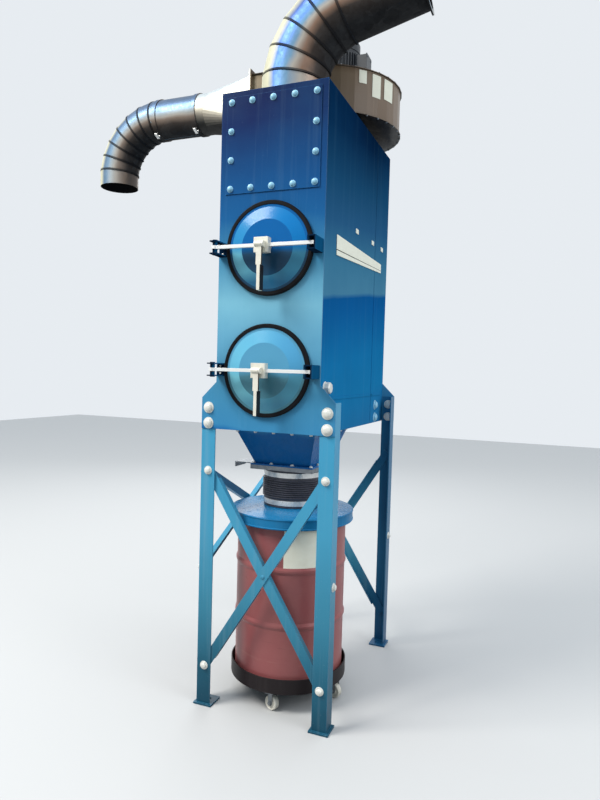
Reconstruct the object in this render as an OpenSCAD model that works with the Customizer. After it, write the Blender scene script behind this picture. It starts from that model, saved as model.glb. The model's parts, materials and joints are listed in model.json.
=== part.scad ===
// Cartridge dust collector on four angle legs, with a drum below it.
// Millimetres, +Z up, +Y towards the back. The origin is on the floor, at the centre of the anchor bolts.

/* [Cabinet] */
// Outside width of the cabinet
cab_w = 550; // [480:10:700]
// Front face to back face of the cabinet
cab_depth = 1150; // [1050:10:1500]
// Height of the cabinet's bottom edge above the floor
cab_bottom_z = 1420; // [1400:10:1700]
// Height of the cabinet from its bottom edge to its top
cab_h = 1636; // [1600:10:2000]
// Thickness of the cabinet's sheet steel
sheet_t = 4; // [3:0.5:6]
// Height of the straight edge of the ears that bolt to the legs
ear_h = 155; // [120:5:200]
// Gap between the tube sheet and the collar under the fan
eye_gap = 25; // [10:1:60]
// Diameter of the filter cartridges
cartridge_d = 324; // [300:2:340]
// Diameter of the holes in the tube sheet
tube_hole_d = 240; // [200:5:260]
// Width of the bolted blank panel at the top of the front
panel_w = 490; // [400:10:500]
// Distance from the upper rubber ring up to the blank panel
panel_clear = 45; // [20:1:100]
// Distance from the top of the cabinet down to the blank panels
panel_drop = 26; // [15:1:60]
// Thickness of the blank panels
panel_t = 4; // [3:0.5:6]
// Height of the bolted panel at the back of the clean-air section
back_panel_h = 1200; // [800:10:1300]

/* [Filter covers] */
// Height of the lower cover's centre above the cabinet's bottom edge
lower_cover_rise = 296; // [270:2:320]
// Distance between the centres of the two covers
cover_spacing = 582; // [560:2:600]
// Diameter of the round openings behind the covers
opening_d = 384; // [370:2:390]
// Outside diameter of the rubber ring around a cover
gasket_d = 450; // [440:2:456]
// Width of the rubber that shows around a cover
gasket_w = 20; // [16:1:22]
// How far the rubber ring stands out from the front sheet
gasket_h = 20; // [18:1:24]
// Depth of the recess in the rubber that a cover's rim seats in
gasket_recess = 6; // [4:1:8]
// Height of the cone between a cover's rim and its flat centre
dish_h = 18; // [12:1:22]
// Diameter of a cover's flat centre
dish_d = 266; // [200:2:300]
// Thickness of a cover
cover_t = 3; // [2:0.5:4]

/* [Yokes and levers] */
// Thickness of the square yoke bars
bar_t = 16; // [12:1:22]
// Distance from the front sheet to a yoke bar's axis
bar_stand = 85; // [80:1:95]
// Distance from the cabinet's middle to a yoke's hinge pin and to its catch
pivot_x = 250; // [246:1:254]
// Radius of the hinge pins of the yokes
pivot_r = 8; // [6:0.5:8.5]
// Radial running clearance between a pin and its bore
pin_gap = 0.05; // [0.02:0.01:0.1]
// Gap between seated pieces that can move apart
seat_gap = 0.3; // [0.2:0.1:0.5]
// Thickness of the bracket plates
bracket_t = 6; // [5:0.5:7]
// Width of a bracket
bracket_w = 40; // [36:1:42]
// Height of a bracket
bracket_h = 64; // [56:1:84]
// How far a bracket stands out from the front sheet
bracket_out = 104; // [102:1:110]
// Width of the clamp block on a yoke
block_w = 72; // [64:1:100]
// Height of the clamp block
block_h = 70; // [60:1:96]
// Thickness of the block's walls in front of and behind the bar
block_wall = 10; // [8:1:13]
// Radius of the screw that presses on the cover
screw_r = 11; // [9:0.5:14]
// Radius of the pad at the screw's end
pad_r = 24; // [18:1:30]
// Radius of the lever's pin
lever_pin_r = 6; // [5:0.5:7]
// Radius of the lever's round hub
lever_hub_r = 14; // [12:0.5:16]
// Width of the lever's hub and flat arm
lever_w = 27; // [22:1:34]
// Length of the lever's flat arm, from its pin
lever_arm = 95; // [80:1:110]
// Whole length of the lever, from its pin to its tip
lever_len = 211; // [180:1:240]
// Width of the lever's grip
grip_w = 16; // [12:1:20]
// Depth of the lever's grip, from its front back to the cover
grip_depth = 40; // [24:1:44]

/* [Legs and braces] */
// Distance from the cabinet's side to the outer face of a leg
leg_gap = 79; // [78:1:95]
// Width of the angle steel's flanges
leg_w = 76; // [60:1:78]
// Thickness of the angle steel
leg_t = 6; // [5:0.5:8]
// Side length of a square foot plate
foot_w = 100; // [90:1:110]
// How far a foot plate reaches past the leg's outer faces
foot_lip = 12; // [8:1:16]
// Thickness of a foot plate
foot_t = 10; // [8:1:14]
// Distance of an anchor hole from the leg's outer faces
anchor_in = 50; // [40:1:60]
// Radius of an anchor hole
anchor_r = 8; // [6:0.5:9]
// Height of the upper ends of the braces
brace_top_z = 1208; // [1180:2:1240]
// Height of the middle ends of the side braces
brace_mid_z = 700; // [660:2:740]
// Height of the lower ends of the braces
brace_low_z = 206; // [180:2:240]
// Distance from a leg's outer face to the brace bolts
brace_in = 40; // [30:1:45]
// Width of the braces' flat flange
brace_w = 50; // [40:1:56]
// Width of the braces' upstanding flange
brace_lip = 30; // [25:1:32]
// Thickness of the braces
brace_t = 5; // [4:0.5:6]
// How far a brace runs past its end bolts
brace_end = 18; // [14:1:20]
// Length over which the upstanding flange is cut away beside a leg, from the bolt
brace_cope = 60; // [58:1:80]

/* [Hopper and gate] */
// Distance from the front face back to the hopper's axis
drop_in = 370; // [355:5:385]
// Inside width of the hopper at its top
hopper_w = 430; // [400:5:460]
// Inside depth of the hopper at its top
hopper_d = 520; // [500:5:540]
// Height from the top of the lid's cone up to the gate's underside
drop_gap = 197; // [185:1:210]
// Inside width of the hopper's square mouth
mouth_w = 296; // [290:2:310]
// Thickness of the hopper's plate
hopper_t = 3; // [3:0.5:5]
// Width of the flanges around the hopper's top and mouth
flange_w = 22; // [18:1:26]
// Thickness of the hopper's flanges
flange_t = 8; // [6:1:10]
// Thickness of the two plates of the slide gate
gate_plate_t = 8; // [6:1:10]
// Thickness of the gate's blade
blade_t = 5; // [4:0.5:6]
// Width of the gate's blade
blade_w = 300; // [296:1:304]
// Running gap beside the blade
blade_side_gap = 2; // [1:0.5:4]
// Length of the blade's handle outside the gate
handle_len = 150; // [120:5:170]
// Width of the blade's handle
handle_w = 120; // [80:5:160]
// Height of the handle's turned edge
handle_lip = 24; // [16:1:30]

/* [Hose, lid and drum] */
// Inside diameter of the collars and the hose
duct_d = 290; // [280:2:294]
// Wall of the collars
collar_t = 4; // [3:0.5:5]
// Length of the gate's collar
gate_collar_h = 90; // [70:5:100]
// Wall of the hose at its cuffs
hose_t = 5; // [4:0.5:6]
// Gap between the hose's ends and the plates beside them
hose_gap = 3; // [1:0.5:6]
// Height of the hose's plain cuffs
cuff_h = 46; // [40:1:55]
// Number of ribs around the hose
hose_ribs = 9; // [6:1:12]
// How far the hose's ribs stand out from its valleys
rib_h = 8; // [5:0.5:10]
// Width of the hose clamps
clamp_w = 26; // [20:1:32]
// Thickness of the hose clamps
clamp_t = 2; // [1.5:0.5:3]
// Height of the drum
drum_h = 872; // [850:2:890]
// Diameter of the drum's body
drum_d = 578; // [560:2:590]
// How far the drum's rolling hoops stand out
hoop_h = 6; // [4:0.5:8]
// Wall of the drum
drum_t = 3; // [2:0.5:4]
// Outside diameter of the drum's lid
lid_d = 650; // [640:2:654]
// Height of the lid's edge above the drum
lid_over = 8; // [6:1:12]
// Height of the lid's rim
lid_rim_h = 55; // [45:1:65]
// Rise of the lid's cone from its rim to its collar
lid_rise = 16; // [10:1:24]
// Height of the lid's collar
lid_collar_h = 46; // [40:1:55]
// Thickness of the lid's plate
lid_t = 4; // [3:0.5:5]

/* [Dolly and casters] */
// Outside diameter of the dolly's ring
dolly_d = 618; // [614:2:630]
// Height of the dolly's ring
dolly_ring_h = 75; // [60:1:90]
// Thickness of the dolly's plate and ring
dolly_t = 5; // [4:0.5:6]
// Gap between the wheels and the dolly's plate
wheel_gap = 31; // [27:1:40]
// Height of the pads that hold the casters' stems
caster_pad_h = 14; // [12:1:15]
// Radius of the pads that hold the casters' stems
caster_pad_r = 34; // [28:1:36]
// Distance from the drum's axis to a caster's swivel
caster_reach = 250; // [240:1:255]
// Radius of the caster wheels
wheel_r = 37; // [34:1:40]
// Width of the caster wheels
wheel_w = 30; // [26:1:34]
// Distance from a caster's swivel back to its axle
caster_trail = 25; // [20:1:30]
// How far the casters are turned, from trailing to the front towards trailing to the right
caster_turn = 72; // [0:1:90]
// Radius of the casters' axles
axle_r = 5; // [4:0.5:6]
// Radius of the casters' swivel stems
stem_r = 8; // [6:0.5:10]
// Thickness of the casters' forks
fork_t = 3; // [2.5:0.5:4]

/* [Inlet duct] */
// Outside diameter of the inlet duct
inlet_d = 326; // [300:2:350]
// Distance from the front face back to the inlet's axis
inlet_in = 240; // [230:2:260]
// Radius of the inlet elbow's middle line
inlet_bend_r = 394; // [360:2:420]
// Height of the inlet's collar below its elbow
inlet_collar_h = 64; // [50:2:90]
// Angle that the inlet elbow turns through, from upright
inlet_turn = 76; // [60:1:90]
// Mitred joints in the inlet elbow
inlet_seams = 5; // [3:1:7]
// Length of the straight duct after the elbow
inlet_pipe_len = 350; // [200:10:500]
// Wall of the ducts
duct_t = 3; // [2:0.5:4]
// Depth of the socket in an open duct end
socket_len = 40; // [30:1:50]
// How much wider the socket is than its duct, on the radius
socket_t = 1; // [0.5:0.1:1.5]
// Width of the raised seams between the pieces of an elbow
seam_w = 8.5; // [7:0.5:12]
// How far the seams stand out
seam_h = 3; // [2:0.5:5]

/* [Fan] */
// Gap between the seams of the inlet duct and the fan's housing
fan_clear = 2; // [1:0.5:10]
// Distance of the fan's axis to the right of the cabinet's middle
fan_x = 15; // [0:1:20]
// Gap between the cabinet's top and the fan's housing
fan_gap = 44; // [36:1:60]
// Height of the fan's housing
fan_h = 240; // [220:5:260]
// Radius of the fan's spiral at its outlet
scroll_r = 474; // [465:1:490]
// Rate at which the spiral closes in, per radian
scroll_rate = 0.152; // [0.14:0.002:0.16]
// Width of the fan's outlet
outlet_w = 270; // [250:5:290]
// Distance from the cabinet's middle to the fan's outlet face
outlet_x = 330; // [320:5:360]
// How far the plates of the housing stand out past its wall
scroll_lip = 8; // [5:1:12]
// Length of the straight neck before the fan's outlet
neck_len = 100; // [60:5:140]
// Thickness of the housing's plates
scroll_plate_t = 4; // [3:0.5:5]
// Radius of the collar under the fan
eye_r = 135; // [120:1:140]
// Radius of the motor's body
motor_r = 115; // [95:1:125]
// Height of the motor's body
motor_h = 250; // [220:5:300]
// Height of the cowl on top of the motor
cowl_h = 70; // [55:1:90]
// Width of the motor's terminal box
box_w = 90; // [70:5:110]
// Height of the terminal box
box_h = 110; // [80:5:130]
// How far the terminal box stands out from the motor
box_out = 60; // [35:1:75]
// Height of the terminal box above the motor's foot
box_rise = 110; // [40:5:120]

/* [Exhaust duct] */
// Outside diameter of the exhaust duct
exhaust_d = 229; // [210:1:240]
// Length of the square-to-round piece
transition_len = 325; // [280:5:380]
// Length of the round spigot after the square-to-round piece
spigot_len = 66; // [50:2:80]
// Length of the straight exhaust duct
exhaust_pipe_len = 270; // [200:5:400]
// Radius of the exhaust elbow's middle line
exhaust_bend_r = 325; // [300:5:360]
// Mitred joints in the exhaust elbow
exhaust_seams = 7; // [5:1:9]
// Length of the collar at the elbow's open end
exhaust_collar = 52; // [40:1:80]
// Width of the duct clamps
band_w = 26; // [18:1:32]
// How far the duct clamps stand out
band_h = 5; // [3:0.5:8]

/* [Air header] */
// Radius of the compressed-air header
header_r = 57; // [50:1:70]
// Length of the compressed-air header
header_len = 420; // [400:5:480]
// Height of the header above the cabinet's bottom edge
header_rise = 1260; // [1225:5:1300]
// Distance from the back face to the header's axis
header_out = 105; // [95:1:130]
// Radius of the pulse valves
valve_r = 38; // [32:1:44]
// Drop from the header to the middle of the valves
valve_drop = 90; // [80:5:120]
// Radius of the blow pipes
blow_r = 20; // [17:1:24]
// Radius of the air port in the header's end
port_r = 10; // [8:0.5:12]
// Depth of the air port
port_len = 24; // [20:1:30]

/* [Hidden] */
$fn = 64;
// A cut runs this far past the face that it leaves
cut = 1;

front_y = -cab_depth / 2;
back_y = cab_depth / 2;
cab_top_z = cab_bottom_z + cab_h;
leg_x = cab_w / 2 + leg_gap;
leg_y = cab_depth / 2 - sheet_t;
leg_top_z = cab_bottom_z + ear_h;
anchor_x = leg_x - anchor_in;
anchor_y = leg_y - anchor_in;
lower_cover_z = cab_bottom_z + lower_cover_rise;
upper_cover_z = lower_cover_z + cover_spacing;
panel_top_z = cab_top_z - panel_drop;
panel_low_z = upper_cover_z + gasket_d / 2 + panel_clear;
gasket_in_r = opening_d / 2 + 2;
rim_r = gasket_d / 2 - gasket_w;
rim_h = gasket_h - gasket_recess + seat_gap;
cover_face_h = rim_h + dish_h + cover_t;
bar_back = bar_stand - bar_t / 2;
bar_front = bar_stand + bar_t / 2;
bar_end_x = pivot_x + bracket_w / 2 - 2 * bracket_t;
block_back = bar_back - block_wall;
block_front = bar_front + block_wall;
lever_h = block_front + lever_hub_r + seat_gap;

drop_y = front_y + drop_in;
wheel_z = wheel_r + seat_gap;
dolly_z = wheel_z + wheel_r + wheel_gap;
caster_pad_z = dolly_z - caster_pad_h;
fork_top_z = caster_pad_z - seat_gap;
drum_z = dolly_z + dolly_t;
drum_top_z = drum_z + drum_h;
lid_top_z = drum_top_z + lid_over;
lid_rim_z = lid_top_z - lid_rim_h;
lid_collar_z = lid_top_z + lid_rise;
gate_gap = blade_t + 2 * seat_gap;
gate_h = 2 * gate_plate_t + gate_gap;
gate_low_z = lid_collar_z + drop_gap;
hopper_low_z = gate_low_z + gate_h;
gate_w = mouth_w + 2 * (hopper_t + flange_w);
collar_r = duct_d / 2 + collar_t;
hose_low_z = lid_collar_z + hose_gap;
hose_top_z = gate_low_z - hose_gap;
hose_r = collar_r + seat_gap + hose_t;

inlet_y = front_y + inlet_in;
inlet_r = inlet_d / 2;
inlet_bend_z = cab_top_z + inlet_collar_h;
fan_y = inlet_y + inlet_r + seam_h + fan_clear + scroll_lip + scroll_r;
tube_sheet_y = fan_y - eye_r - eye_gap - sheet_t;
fan_z = cab_top_z + fan_gap;
fan_top_z = fan_z + fan_h;
outlet_front_y = fan_y - scroll_r;
outlet_mid_y = outlet_front_y + outlet_w / 2;
outlet_mid_z = fan_z + fan_h / 2;
exhaust_r = exhaust_d / 2;
spigot_x = -outlet_x - transition_len;
pipe_x = spigot_x - spigot_len;
bend_x = pipe_x - exhaust_pipe_len;
header_z = cab_bottom_z + header_rise;
header_y = back_y + header_out;

// Paints of the object
blue = [0.10, 0.36, 0.66];
zinc = [0.75, 0.77, 0.78];
cream = [0.90, 0.89, 0.82];
black = [0.08, 0.08, 0.09];
red = [0.60, 0.22, 0.20];
tan = [0.62, 0.55, 0.46];
gray = [0.33, 0.35, 0.37];

// A plate parallel to the front, from y0 back by t, drawn from an outline in X and Z
module front_plate(y0, t) {
    translate([0, y0 + t, 0]) rotate([90, 0, 0]) linear_extrude(t) children();
}

// Copies for one of the four corners: sx is 1 on the right, sy is 1 at the back
module corner(sx, sy) {
    mirror([sx < 0 ? 1 : 0, 0, 0]) mirror([0, sy < 0 ? 1 : 0, 0]) children();
}

// A straight bar from a to b in the X-Z plane, rising along its own X
module along(a, b) {
    run = b - a;
    translate([a[0], 0, a[1]]) rotate([0, -atan2(run[1], run[0]), 0]) children();
}

// Outline of an end sheet, with an ear at each side for the legs
module eared_outline() {
    half = cab_w / 2;
    side = [
        [leg_x, cab_bottom_z], [leg_x, cab_bottom_z + ear_h],
        [half, cab_bottom_z + ear_h + leg_gap], [half, cab_top_z]
    ];
    polygon(concat(side, [for (i = [len(side) - 1:-1:0]) [-side[i][0], side[i][1]]]));
}

module front_sheet() {
    color(blue) front_plate(front_y, sheet_t) difference() {
        eared_outline();
        for (z = [lower_cover_z, upper_cover_z]) translate([0, z]) circle(d = opening_d);
    }
}

module back_sheet() {
    color(blue) front_plate(back_y - sheet_t, sheet_t) eared_outline();
}

module side_sheet(side) {
    x0 = side > 0 ? cab_w / 2 - sheet_t : -cab_w / 2;
    color(blue) translate([x0, front_y + sheet_t, cab_bottom_z])
        cube([sheet_t, cab_depth - 2 * sheet_t, cab_h]);
}

// A level sheet between the four upright ones
module level_sheet(z0) {
    w = cab_w - 2 * sheet_t;
    d = cab_depth - 2 * sheet_t;
    translate([-w / 2, -d / 2, z0]) cube([w, d, sheet_t]);
}

module top_sheet() {
    color(blue) difference() {
        level_sheet(cab_top_z - sheet_t);
        translate([0, inlet_y, cab_top_z - sheet_t - cut]) cylinder(r = inlet_r - duct_t, h = sheet_t + 2 * cut);
        translate([fan_x, fan_y, cab_top_z - sheet_t - cut])
            cylinder(r = eye_r - duct_t, h = sheet_t + 2 * cut);
    }
}

module floor_pan() {
    color(blue) difference() {
        level_sheet(cab_bottom_z);
        translate([-hopper_w / 2, drop_y - hopper_d / 2, cab_bottom_z - cut])
            cube([hopper_w, hopper_d, sheet_t + 2 * cut]);
    }
}

// Upright sheet between the filter chamber and the clean-air section, with a hole for each filter
module tube_sheet() {
    low_z = cab_bottom_z + sheet_t;
    color(blue) front_plate(tube_sheet_y, sheet_t) difference() {
        translate([-cab_w / 2 + sheet_t, low_z]) square([cab_w - 2 * sheet_t, cab_h - 2 * sheet_t]);
        for (z = [lower_cover_z, upper_cover_z]) translate([0, z]) circle(d = tube_hole_d);
    }
}

// Filters, from a closed front end cap back to the tube sheet
module cartridges() {
    front_gap = 45;
    length = tube_sheet_y - front_y - sheet_t - front_gap;
    core_r = tube_hole_d / 2;
    r = cartridge_d / 2;
    cap_h = 16;
    color(cream) for (z = [lower_cover_z, upper_cover_z])
        translate([0, tube_sheet_y - length, z]) rotate([-90, 0, 0]) rotate_extrude() polygon([
            [0, 0], [r + 4, 0], [r + 4, cap_h], [r, cap_h], [r, length - cap_h], [r + 4, length - cap_h],
            [r + 4, length], [core_r, length], [core_r, cap_h], [0, cap_h]
        ]);
}

module inlet_panel() {
    color(blue) translate([-panel_w / 2, front_y - panel_t, panel_low_z])
        cube([panel_w, panel_t, panel_top_z - panel_low_z]);
}

module back_panel() {
    color(blue) translate([-panel_w / 2, back_y, panel_top_z - back_panel_h])
        cube([panel_w, panel_t, back_panel_h]);
}

// Places its children at a yoke's middle, with +Z of the child standing out from the front sheet
module on_front(x, z) {
    translate([x, front_y, z]) rotate([90, 0, 0]) children();
}

// Channel that holds a yoke's end off the front sheet, open to the front and to its sides
module bracket_channel() {
    translate([-bracket_w / 2, -bracket_h / 2, 0]) cube([bracket_w, bracket_h, bracket_t]);
    for (y = [-bracket_h / 2, bracket_h / 2 - bracket_t]) translate([-bracket_w / 2, y, 0])
        cube([bracket_w, bracket_t, bracket_out]);
}

// Upright hinge pin through both flanges of a bracket, with a spacer on each side of the bar
module hinge_pin() {
    spacer_h = bracket_h / 2 - bracket_t - bar_t / 2 - seat_gap;
    head = 4;
    translate([0, 0, bar_stand]) rotate([-90, 0, 0]) {
        translate([0, 0, -bracket_h / 2 - head]) cylinder(r = pivot_r, h = bracket_h + 2 * head);
        for (side = [0, 1]) mirror([0, 0, side]) {
            translate([0, 0, bar_t / 2 + seat_gap]) cylinder(r = pivot_r + 4, h = spacer_h);
            translate([0, 0, bracket_h / 2]) cylinder(r = pivot_r + 4, h = head);
        }
    }
}

// Two upright webs of the catch. The inner one has a slot, open to the front, for the bar's end.
module catch_webs() {
    slot_h = bar_t + 4;
    for (x = [-bracket_w / 2, bracket_w / 2 - bracket_t]) translate([x, -bracket_h / 2, 0])
        difference() {
            cube([bracket_t, bracket_h, bracket_out]);
            if (x < 0) translate([-cut, bracket_h / 2 - slot_h / 2, bar_back - 2])
                cube([bracket_t + 2 * cut, slot_h, bracket_out]);
        }
}

module yoke_brackets() {
    color(blue) for (z = [lower_cover_z, upper_cover_z]) {
        on_front(-pivot_x, z) {
            bracket_channel();
            hinge_pin();
        }
        on_front(pivot_x, z) {
            bracket_channel();
            catch_webs();
        }
    }
}

// Rubber ring on the front sheet, with a recess around its inside for a cover's rim
module gasket_ring() {
    r1 = gasket_d / 2;
    wall_r = rim_r + 1.5;
    soft = 5;
    seat = gasket_h - gasket_recess;
    rotate_extrude() polygon([
        [gasket_in_r, 0], [r1, 0], [r1, gasket_h - soft], [r1 - soft, gasket_h],
        [wall_r, gasket_h], [wall_r, seat], [gasket_in_r, seat]
    ]);
}

module cover_gaskets() {
    color(black) for (z = [lower_cover_z, upper_cover_z]) on_front(0, z) gasket_ring();
}

// Pressed cover: a flat rim in the gasket's recess, a cone and a flat centre
module cover(z) {
    cone_r = rim_r - 12;
    under = [[rim_r, rim_h], [cone_r, rim_h], [dish_d / 2, rim_h + dish_h], [0, rim_h + dish_h]];
    over = [for (i = [len(under) - 1:-1:0]) [under[i][0], under[i][1] + cover_t]];
    color(blue) on_front(0, z) rotate_extrude() polygon(concat(under, over));
}

module upper_cover() { cover(upper_cover_z); }
module lower_cover() { cover(lower_cover_z); }

// Square bar with an eye on the hinge pin
module yoke(z) {
    eye_boss_r = pivot_r + 9;
    color(zinc) on_front(0, z) difference() {
        union() {
            translate([-pivot_x, -bar_t / 2, bar_back]) cube([pivot_x + bar_end_x, bar_t, bar_t]);
            translate([-pivot_x, -bar_t / 2, bar_stand]) rotate([-90, 0, 0]) cylinder(r = eye_boss_r, h = bar_t);
        }
        translate([-pivot_x, -bar_t / 2 - cut, bar_stand]) rotate([-90, 0, 0])
            cylinder(r = pivot_r + pin_gap, h = bar_t + 2 * cut);
    }
}

module upper_yoke() { yoke(upper_cover_z); }
module lower_yoke() { yoke(lower_cover_z); }

// Block around the yoke bar, with the pressing screw behind and the lever's ears in front
module clamp_block(z) {
    ear_t = 8;
    ear_x = lever_w / 2 + 0.5;
    pad_h = 8;
    color(cream) on_front(0, z) {
        difference() {
            translate([-block_w / 2, -block_h / 2, block_back]) cube([block_w, block_h, block_front - block_back]);
            translate([-block_w / 2 - cut, -bar_t / 2, bar_back]) cube([block_w + 2 * cut, bar_t, bar_t]);
        }
        translate([0, 0, cover_face_h]) cylinder(r = screw_r, h = block_back - cover_face_h);
        translate([0, 0, cover_face_h]) cylinder(r = pad_r, h = pad_h);
        for (side = [-1, 1]) translate([side * (ear_x + ear_t / 2) - ear_t / 2, 0, 0]) {
            translate([0, -lever_hub_r, block_front]) cube([ear_t, 2 * lever_hub_r, lever_h - block_front]);
            translate([0, 0, lever_h]) rotate([0, 90, 0]) cylinder(r = lever_hub_r, h = ear_t);
        }
        translate([-ear_x - ear_t / 2, 0, lever_h]) rotate([0, 90, 0])
            cylinder(r = lever_pin_r, h = 2 * ear_x + ear_t);
    }
}

module upper_clamp() { clamp_block(upper_cover_z); }
module lower_clamp() { clamp_block(lower_cover_z); }

// Cam lever, hanging down when it is closed
module lever(z) {
    arm_t = 12;
    color(cream) on_front(0, z) translate([0, 0, lever_h]) difference() {
        union() {
            translate([-lever_w / 2, 0, 0]) rotate([0, 90, 0]) cylinder(r = lever_hub_r, h = lever_w);
            translate([-lever_w / 2, -lever_arm, -arm_t / 2]) cube([lever_w, lever_arm, arm_t]);
            translate([-grip_w / 2, -lever_len, arm_t / 2 - grip_depth])
                cube([grip_w, lever_len - lever_arm, grip_depth]);
        }
        translate([-lever_w / 2 - cut, 0, 0]) rotate([0, 90, 0])
            cylinder(r = lever_pin_r + pin_gap, h = lever_w + 2 * cut);
    }
}

module upper_lever() { lever(upper_cover_z); }
module lower_lever() { lever(lower_cover_z); }

// Angle-steel leg with its foot plate, drawn for the back right corner
module leg() {
    outline = [
        [leg_x, leg_y], [leg_x - leg_w, leg_y], [leg_x - leg_w, leg_y - leg_t],
        [leg_x - leg_t, leg_y - leg_t], [leg_x - leg_t, leg_y - leg_w], [leg_x, leg_y - leg_w]
    ];
    translate([0, 0, foot_t]) linear_extrude(leg_top_z - foot_t) polygon(outline);
    difference() {
        translate([leg_x + foot_lip - foot_w, leg_y + foot_lip - foot_w, 0]) cube([foot_w, foot_w, foot_t]);
        translate([anchor_x, anchor_y, -cut]) cylinder(r = anchor_r, h = foot_t + 2 * cut);
    }
}

module front_right_leg() { color(blue) corner(1, -1) leg(); }
module front_left_leg() { color(blue) corner(-1, -1) leg(); }
module back_right_leg() { color(blue) corner(1, 1) leg(); }
module back_left_leg() { color(blue) corner(-1, 1) leg(); }

// Angle-steel brace between two bolts in the X-Z plane. Its flat flange starts depth behind y = 0
// and its lip stands back from that, cut away beside the legs. A notch in the lip lets the other
// brace of the pair pass.
module brace(a, b, depth, notch) {
    length = norm(b - a);
    low = -brace_w / 2;
    along(a, b) difference() {
        union() {
            translate([-brace_end, depth, low]) cube([length + 2 * brace_end, brace_t, brace_w]);
            translate([brace_cope, depth, low]) cube([length - 2 * brace_cope, brace_lip, brace_t]);
        }
        if (notch > 0) translate([length / 2 - notch / 2, depth + brace_t, low - cut])
            cube([notch, brace_lip, brace_w]);
    }
}

brace_x = leg_x - brace_in;
brace_y = leg_y - brace_in;
notch_w = 3 * brace_w;

// The pair of an end frame, drawn for the front: sx is 1 where the brace rises to the right
module end_brace(sx, step) {
    brace([-sx * brace_x, brace_low_z], [sx * brace_x, brace_top_z], leg_t + step, step > 0 ? 0 : notch_w);
}

module front_rising_brace() { color(blue) translate([0, -leg_y, 0]) end_brace(1, 0); }
module front_falling_brace() { color(blue) translate([0, -leg_y, 0]) end_brace(-1, brace_t); }
module back_rising_brace() { color(blue) translate([0, leg_y, 0]) rotate([0, 0, 180]) end_brace(-1, 0); }
module back_falling_brace() { color(blue) translate([0, leg_y, 0]) rotate([0, 0, 180]) end_brace(1, brace_t); }

// The pair on the left side, outside the legs: rise is 1 where the brace rises to the back
module side_brace(rise, step) {
    color(blue) translate([-leg_x, 0, 0]) rotate([0, 0, -90])
        brace([-rise * brace_y, brace_mid_z], [rise * brace_y, brace_top_z], -brace_t - step, step > 0 ? notch_w : 0);
}

module left_rising_brace() { side_brace(-1, 0); }
module left_falling_brace() { side_brace(1, brace_t); }

// A level rectangular slab around the hopper's axis
module slab(w, d, z, h) {
    translate([-w / 2, drop_y - d / 2, z]) cube([w, d, h]);
}

module hopper() {
    skin = 0.5;
    lip_w = 2 * (hopper_t + flange_w);
    color(blue) {
        difference() {
            hull() {
                slab(hopper_w + 2 * hopper_t, hopper_d + 2 * hopper_t, cab_bottom_z - skin, skin);
                slab(mouth_w + 2 * hopper_t, mouth_w + 2 * hopper_t, hopper_low_z, skin);
            }
            hull() {
                slab(hopper_w, hopper_d, cab_bottom_z, cut);
                slab(mouth_w, mouth_w, hopper_low_z - cut, cut);
            }
        }
        difference() {
            slab(hopper_w + lip_w, hopper_d + lip_w, cab_bottom_z - flange_t, flange_t);
            slab(hopper_w, hopper_d, cab_bottom_z - flange_t - cut, flange_t + 2 * cut);
        }
        difference() {
            slab(mouth_w + lip_w, mouth_w + lip_w, hopper_low_z, flange_t);
            slab(mouth_w, mouth_w, hopper_low_z - cut, flange_t + 2 * cut);
        }
    }
}

module gate_frame() {
    rail = (gate_w - blade_w) / 2 - blade_side_gap;
    color(zinc) translate([0, drop_y, 0]) difference() {
        union() {
            translate([-gate_w / 2, -gate_w / 2, gate_low_z]) cube([gate_w, gate_w, gate_h]);
            translate([0, 0, gate_low_z - gate_collar_h]) cylinder(r = collar_r, h = gate_collar_h + cut);
        }
        translate([-gate_w / 2 - cut, -gate_w / 2 + rail, gate_low_z + gate_plate_t])
            cube([gate_w - rail + cut, gate_w - 2 * rail, gate_gap]);
        translate([0, 0, gate_low_z - gate_collar_h - cut])
            cylinder(d = duct_d, h = gate_collar_h + gate_h + 2 * cut);
    }
}

module gate_blade() {
    z0 = gate_low_z + gate_plate_t + seat_gap;
    tip_x = -gate_w / 2 - handle_len;
    color(zinc) translate([0, drop_y, z0]) {
        translate([-gate_w / 2, -blade_w / 2, 0]) cube([gate_w / 2 + blade_w / 2, blade_w, blade_t]);
        translate([tip_x, -handle_w / 2, 0]) cube([handle_len + cut, handle_w, blade_t]);
        translate([tip_x, -handle_w / 2, -handle_lip]) cube([blade_t, handle_w, handle_lip + cut]);
    }
}

// Half of the hose's section: plain cuffs, and rounded ribs between them
module hose() {
    r0 = collar_r + seat_gap;
    ribs_low = hose_low_z + cuff_h;
    ribs_top = hose_top_z - cuff_h;
    pitch = (ribs_top - ribs_low) / hose_ribs;
    outer = [for (i = [0:hose_ribs - 1]) each [
        [hose_r, ribs_low + pitch * i],
        [hose_r + rib_h, ribs_low + pitch * (i + 0.35)],
        [hose_r + rib_h, ribs_low + pitch * (i + 0.65)]
    ]];
    color(black) translate([0, drop_y, 0]) rotate_extrude() polygon(concat(
        [[r0, hose_low_z], [hose_r, hose_low_z]], outer,
        [[hose_r, ribs_top], [hose_r, hose_top_z], [r0, hose_top_z]]
    ));
}

module hose_clamps() {
    mids = [hose_low_z + cuff_h / 2, hose_top_z - cuff_h / 2];
    color(zinc) translate([0, drop_y, 0]) for (z = mids) translate([0, 0, z - clamp_w / 2]) difference() {
        cylinder(r = hose_r + clamp_t, h = clamp_w);
        translate([0, 0, -cut]) cylinder(r = hose_r, h = clamp_w + 2 * cut);
    }
}

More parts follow.
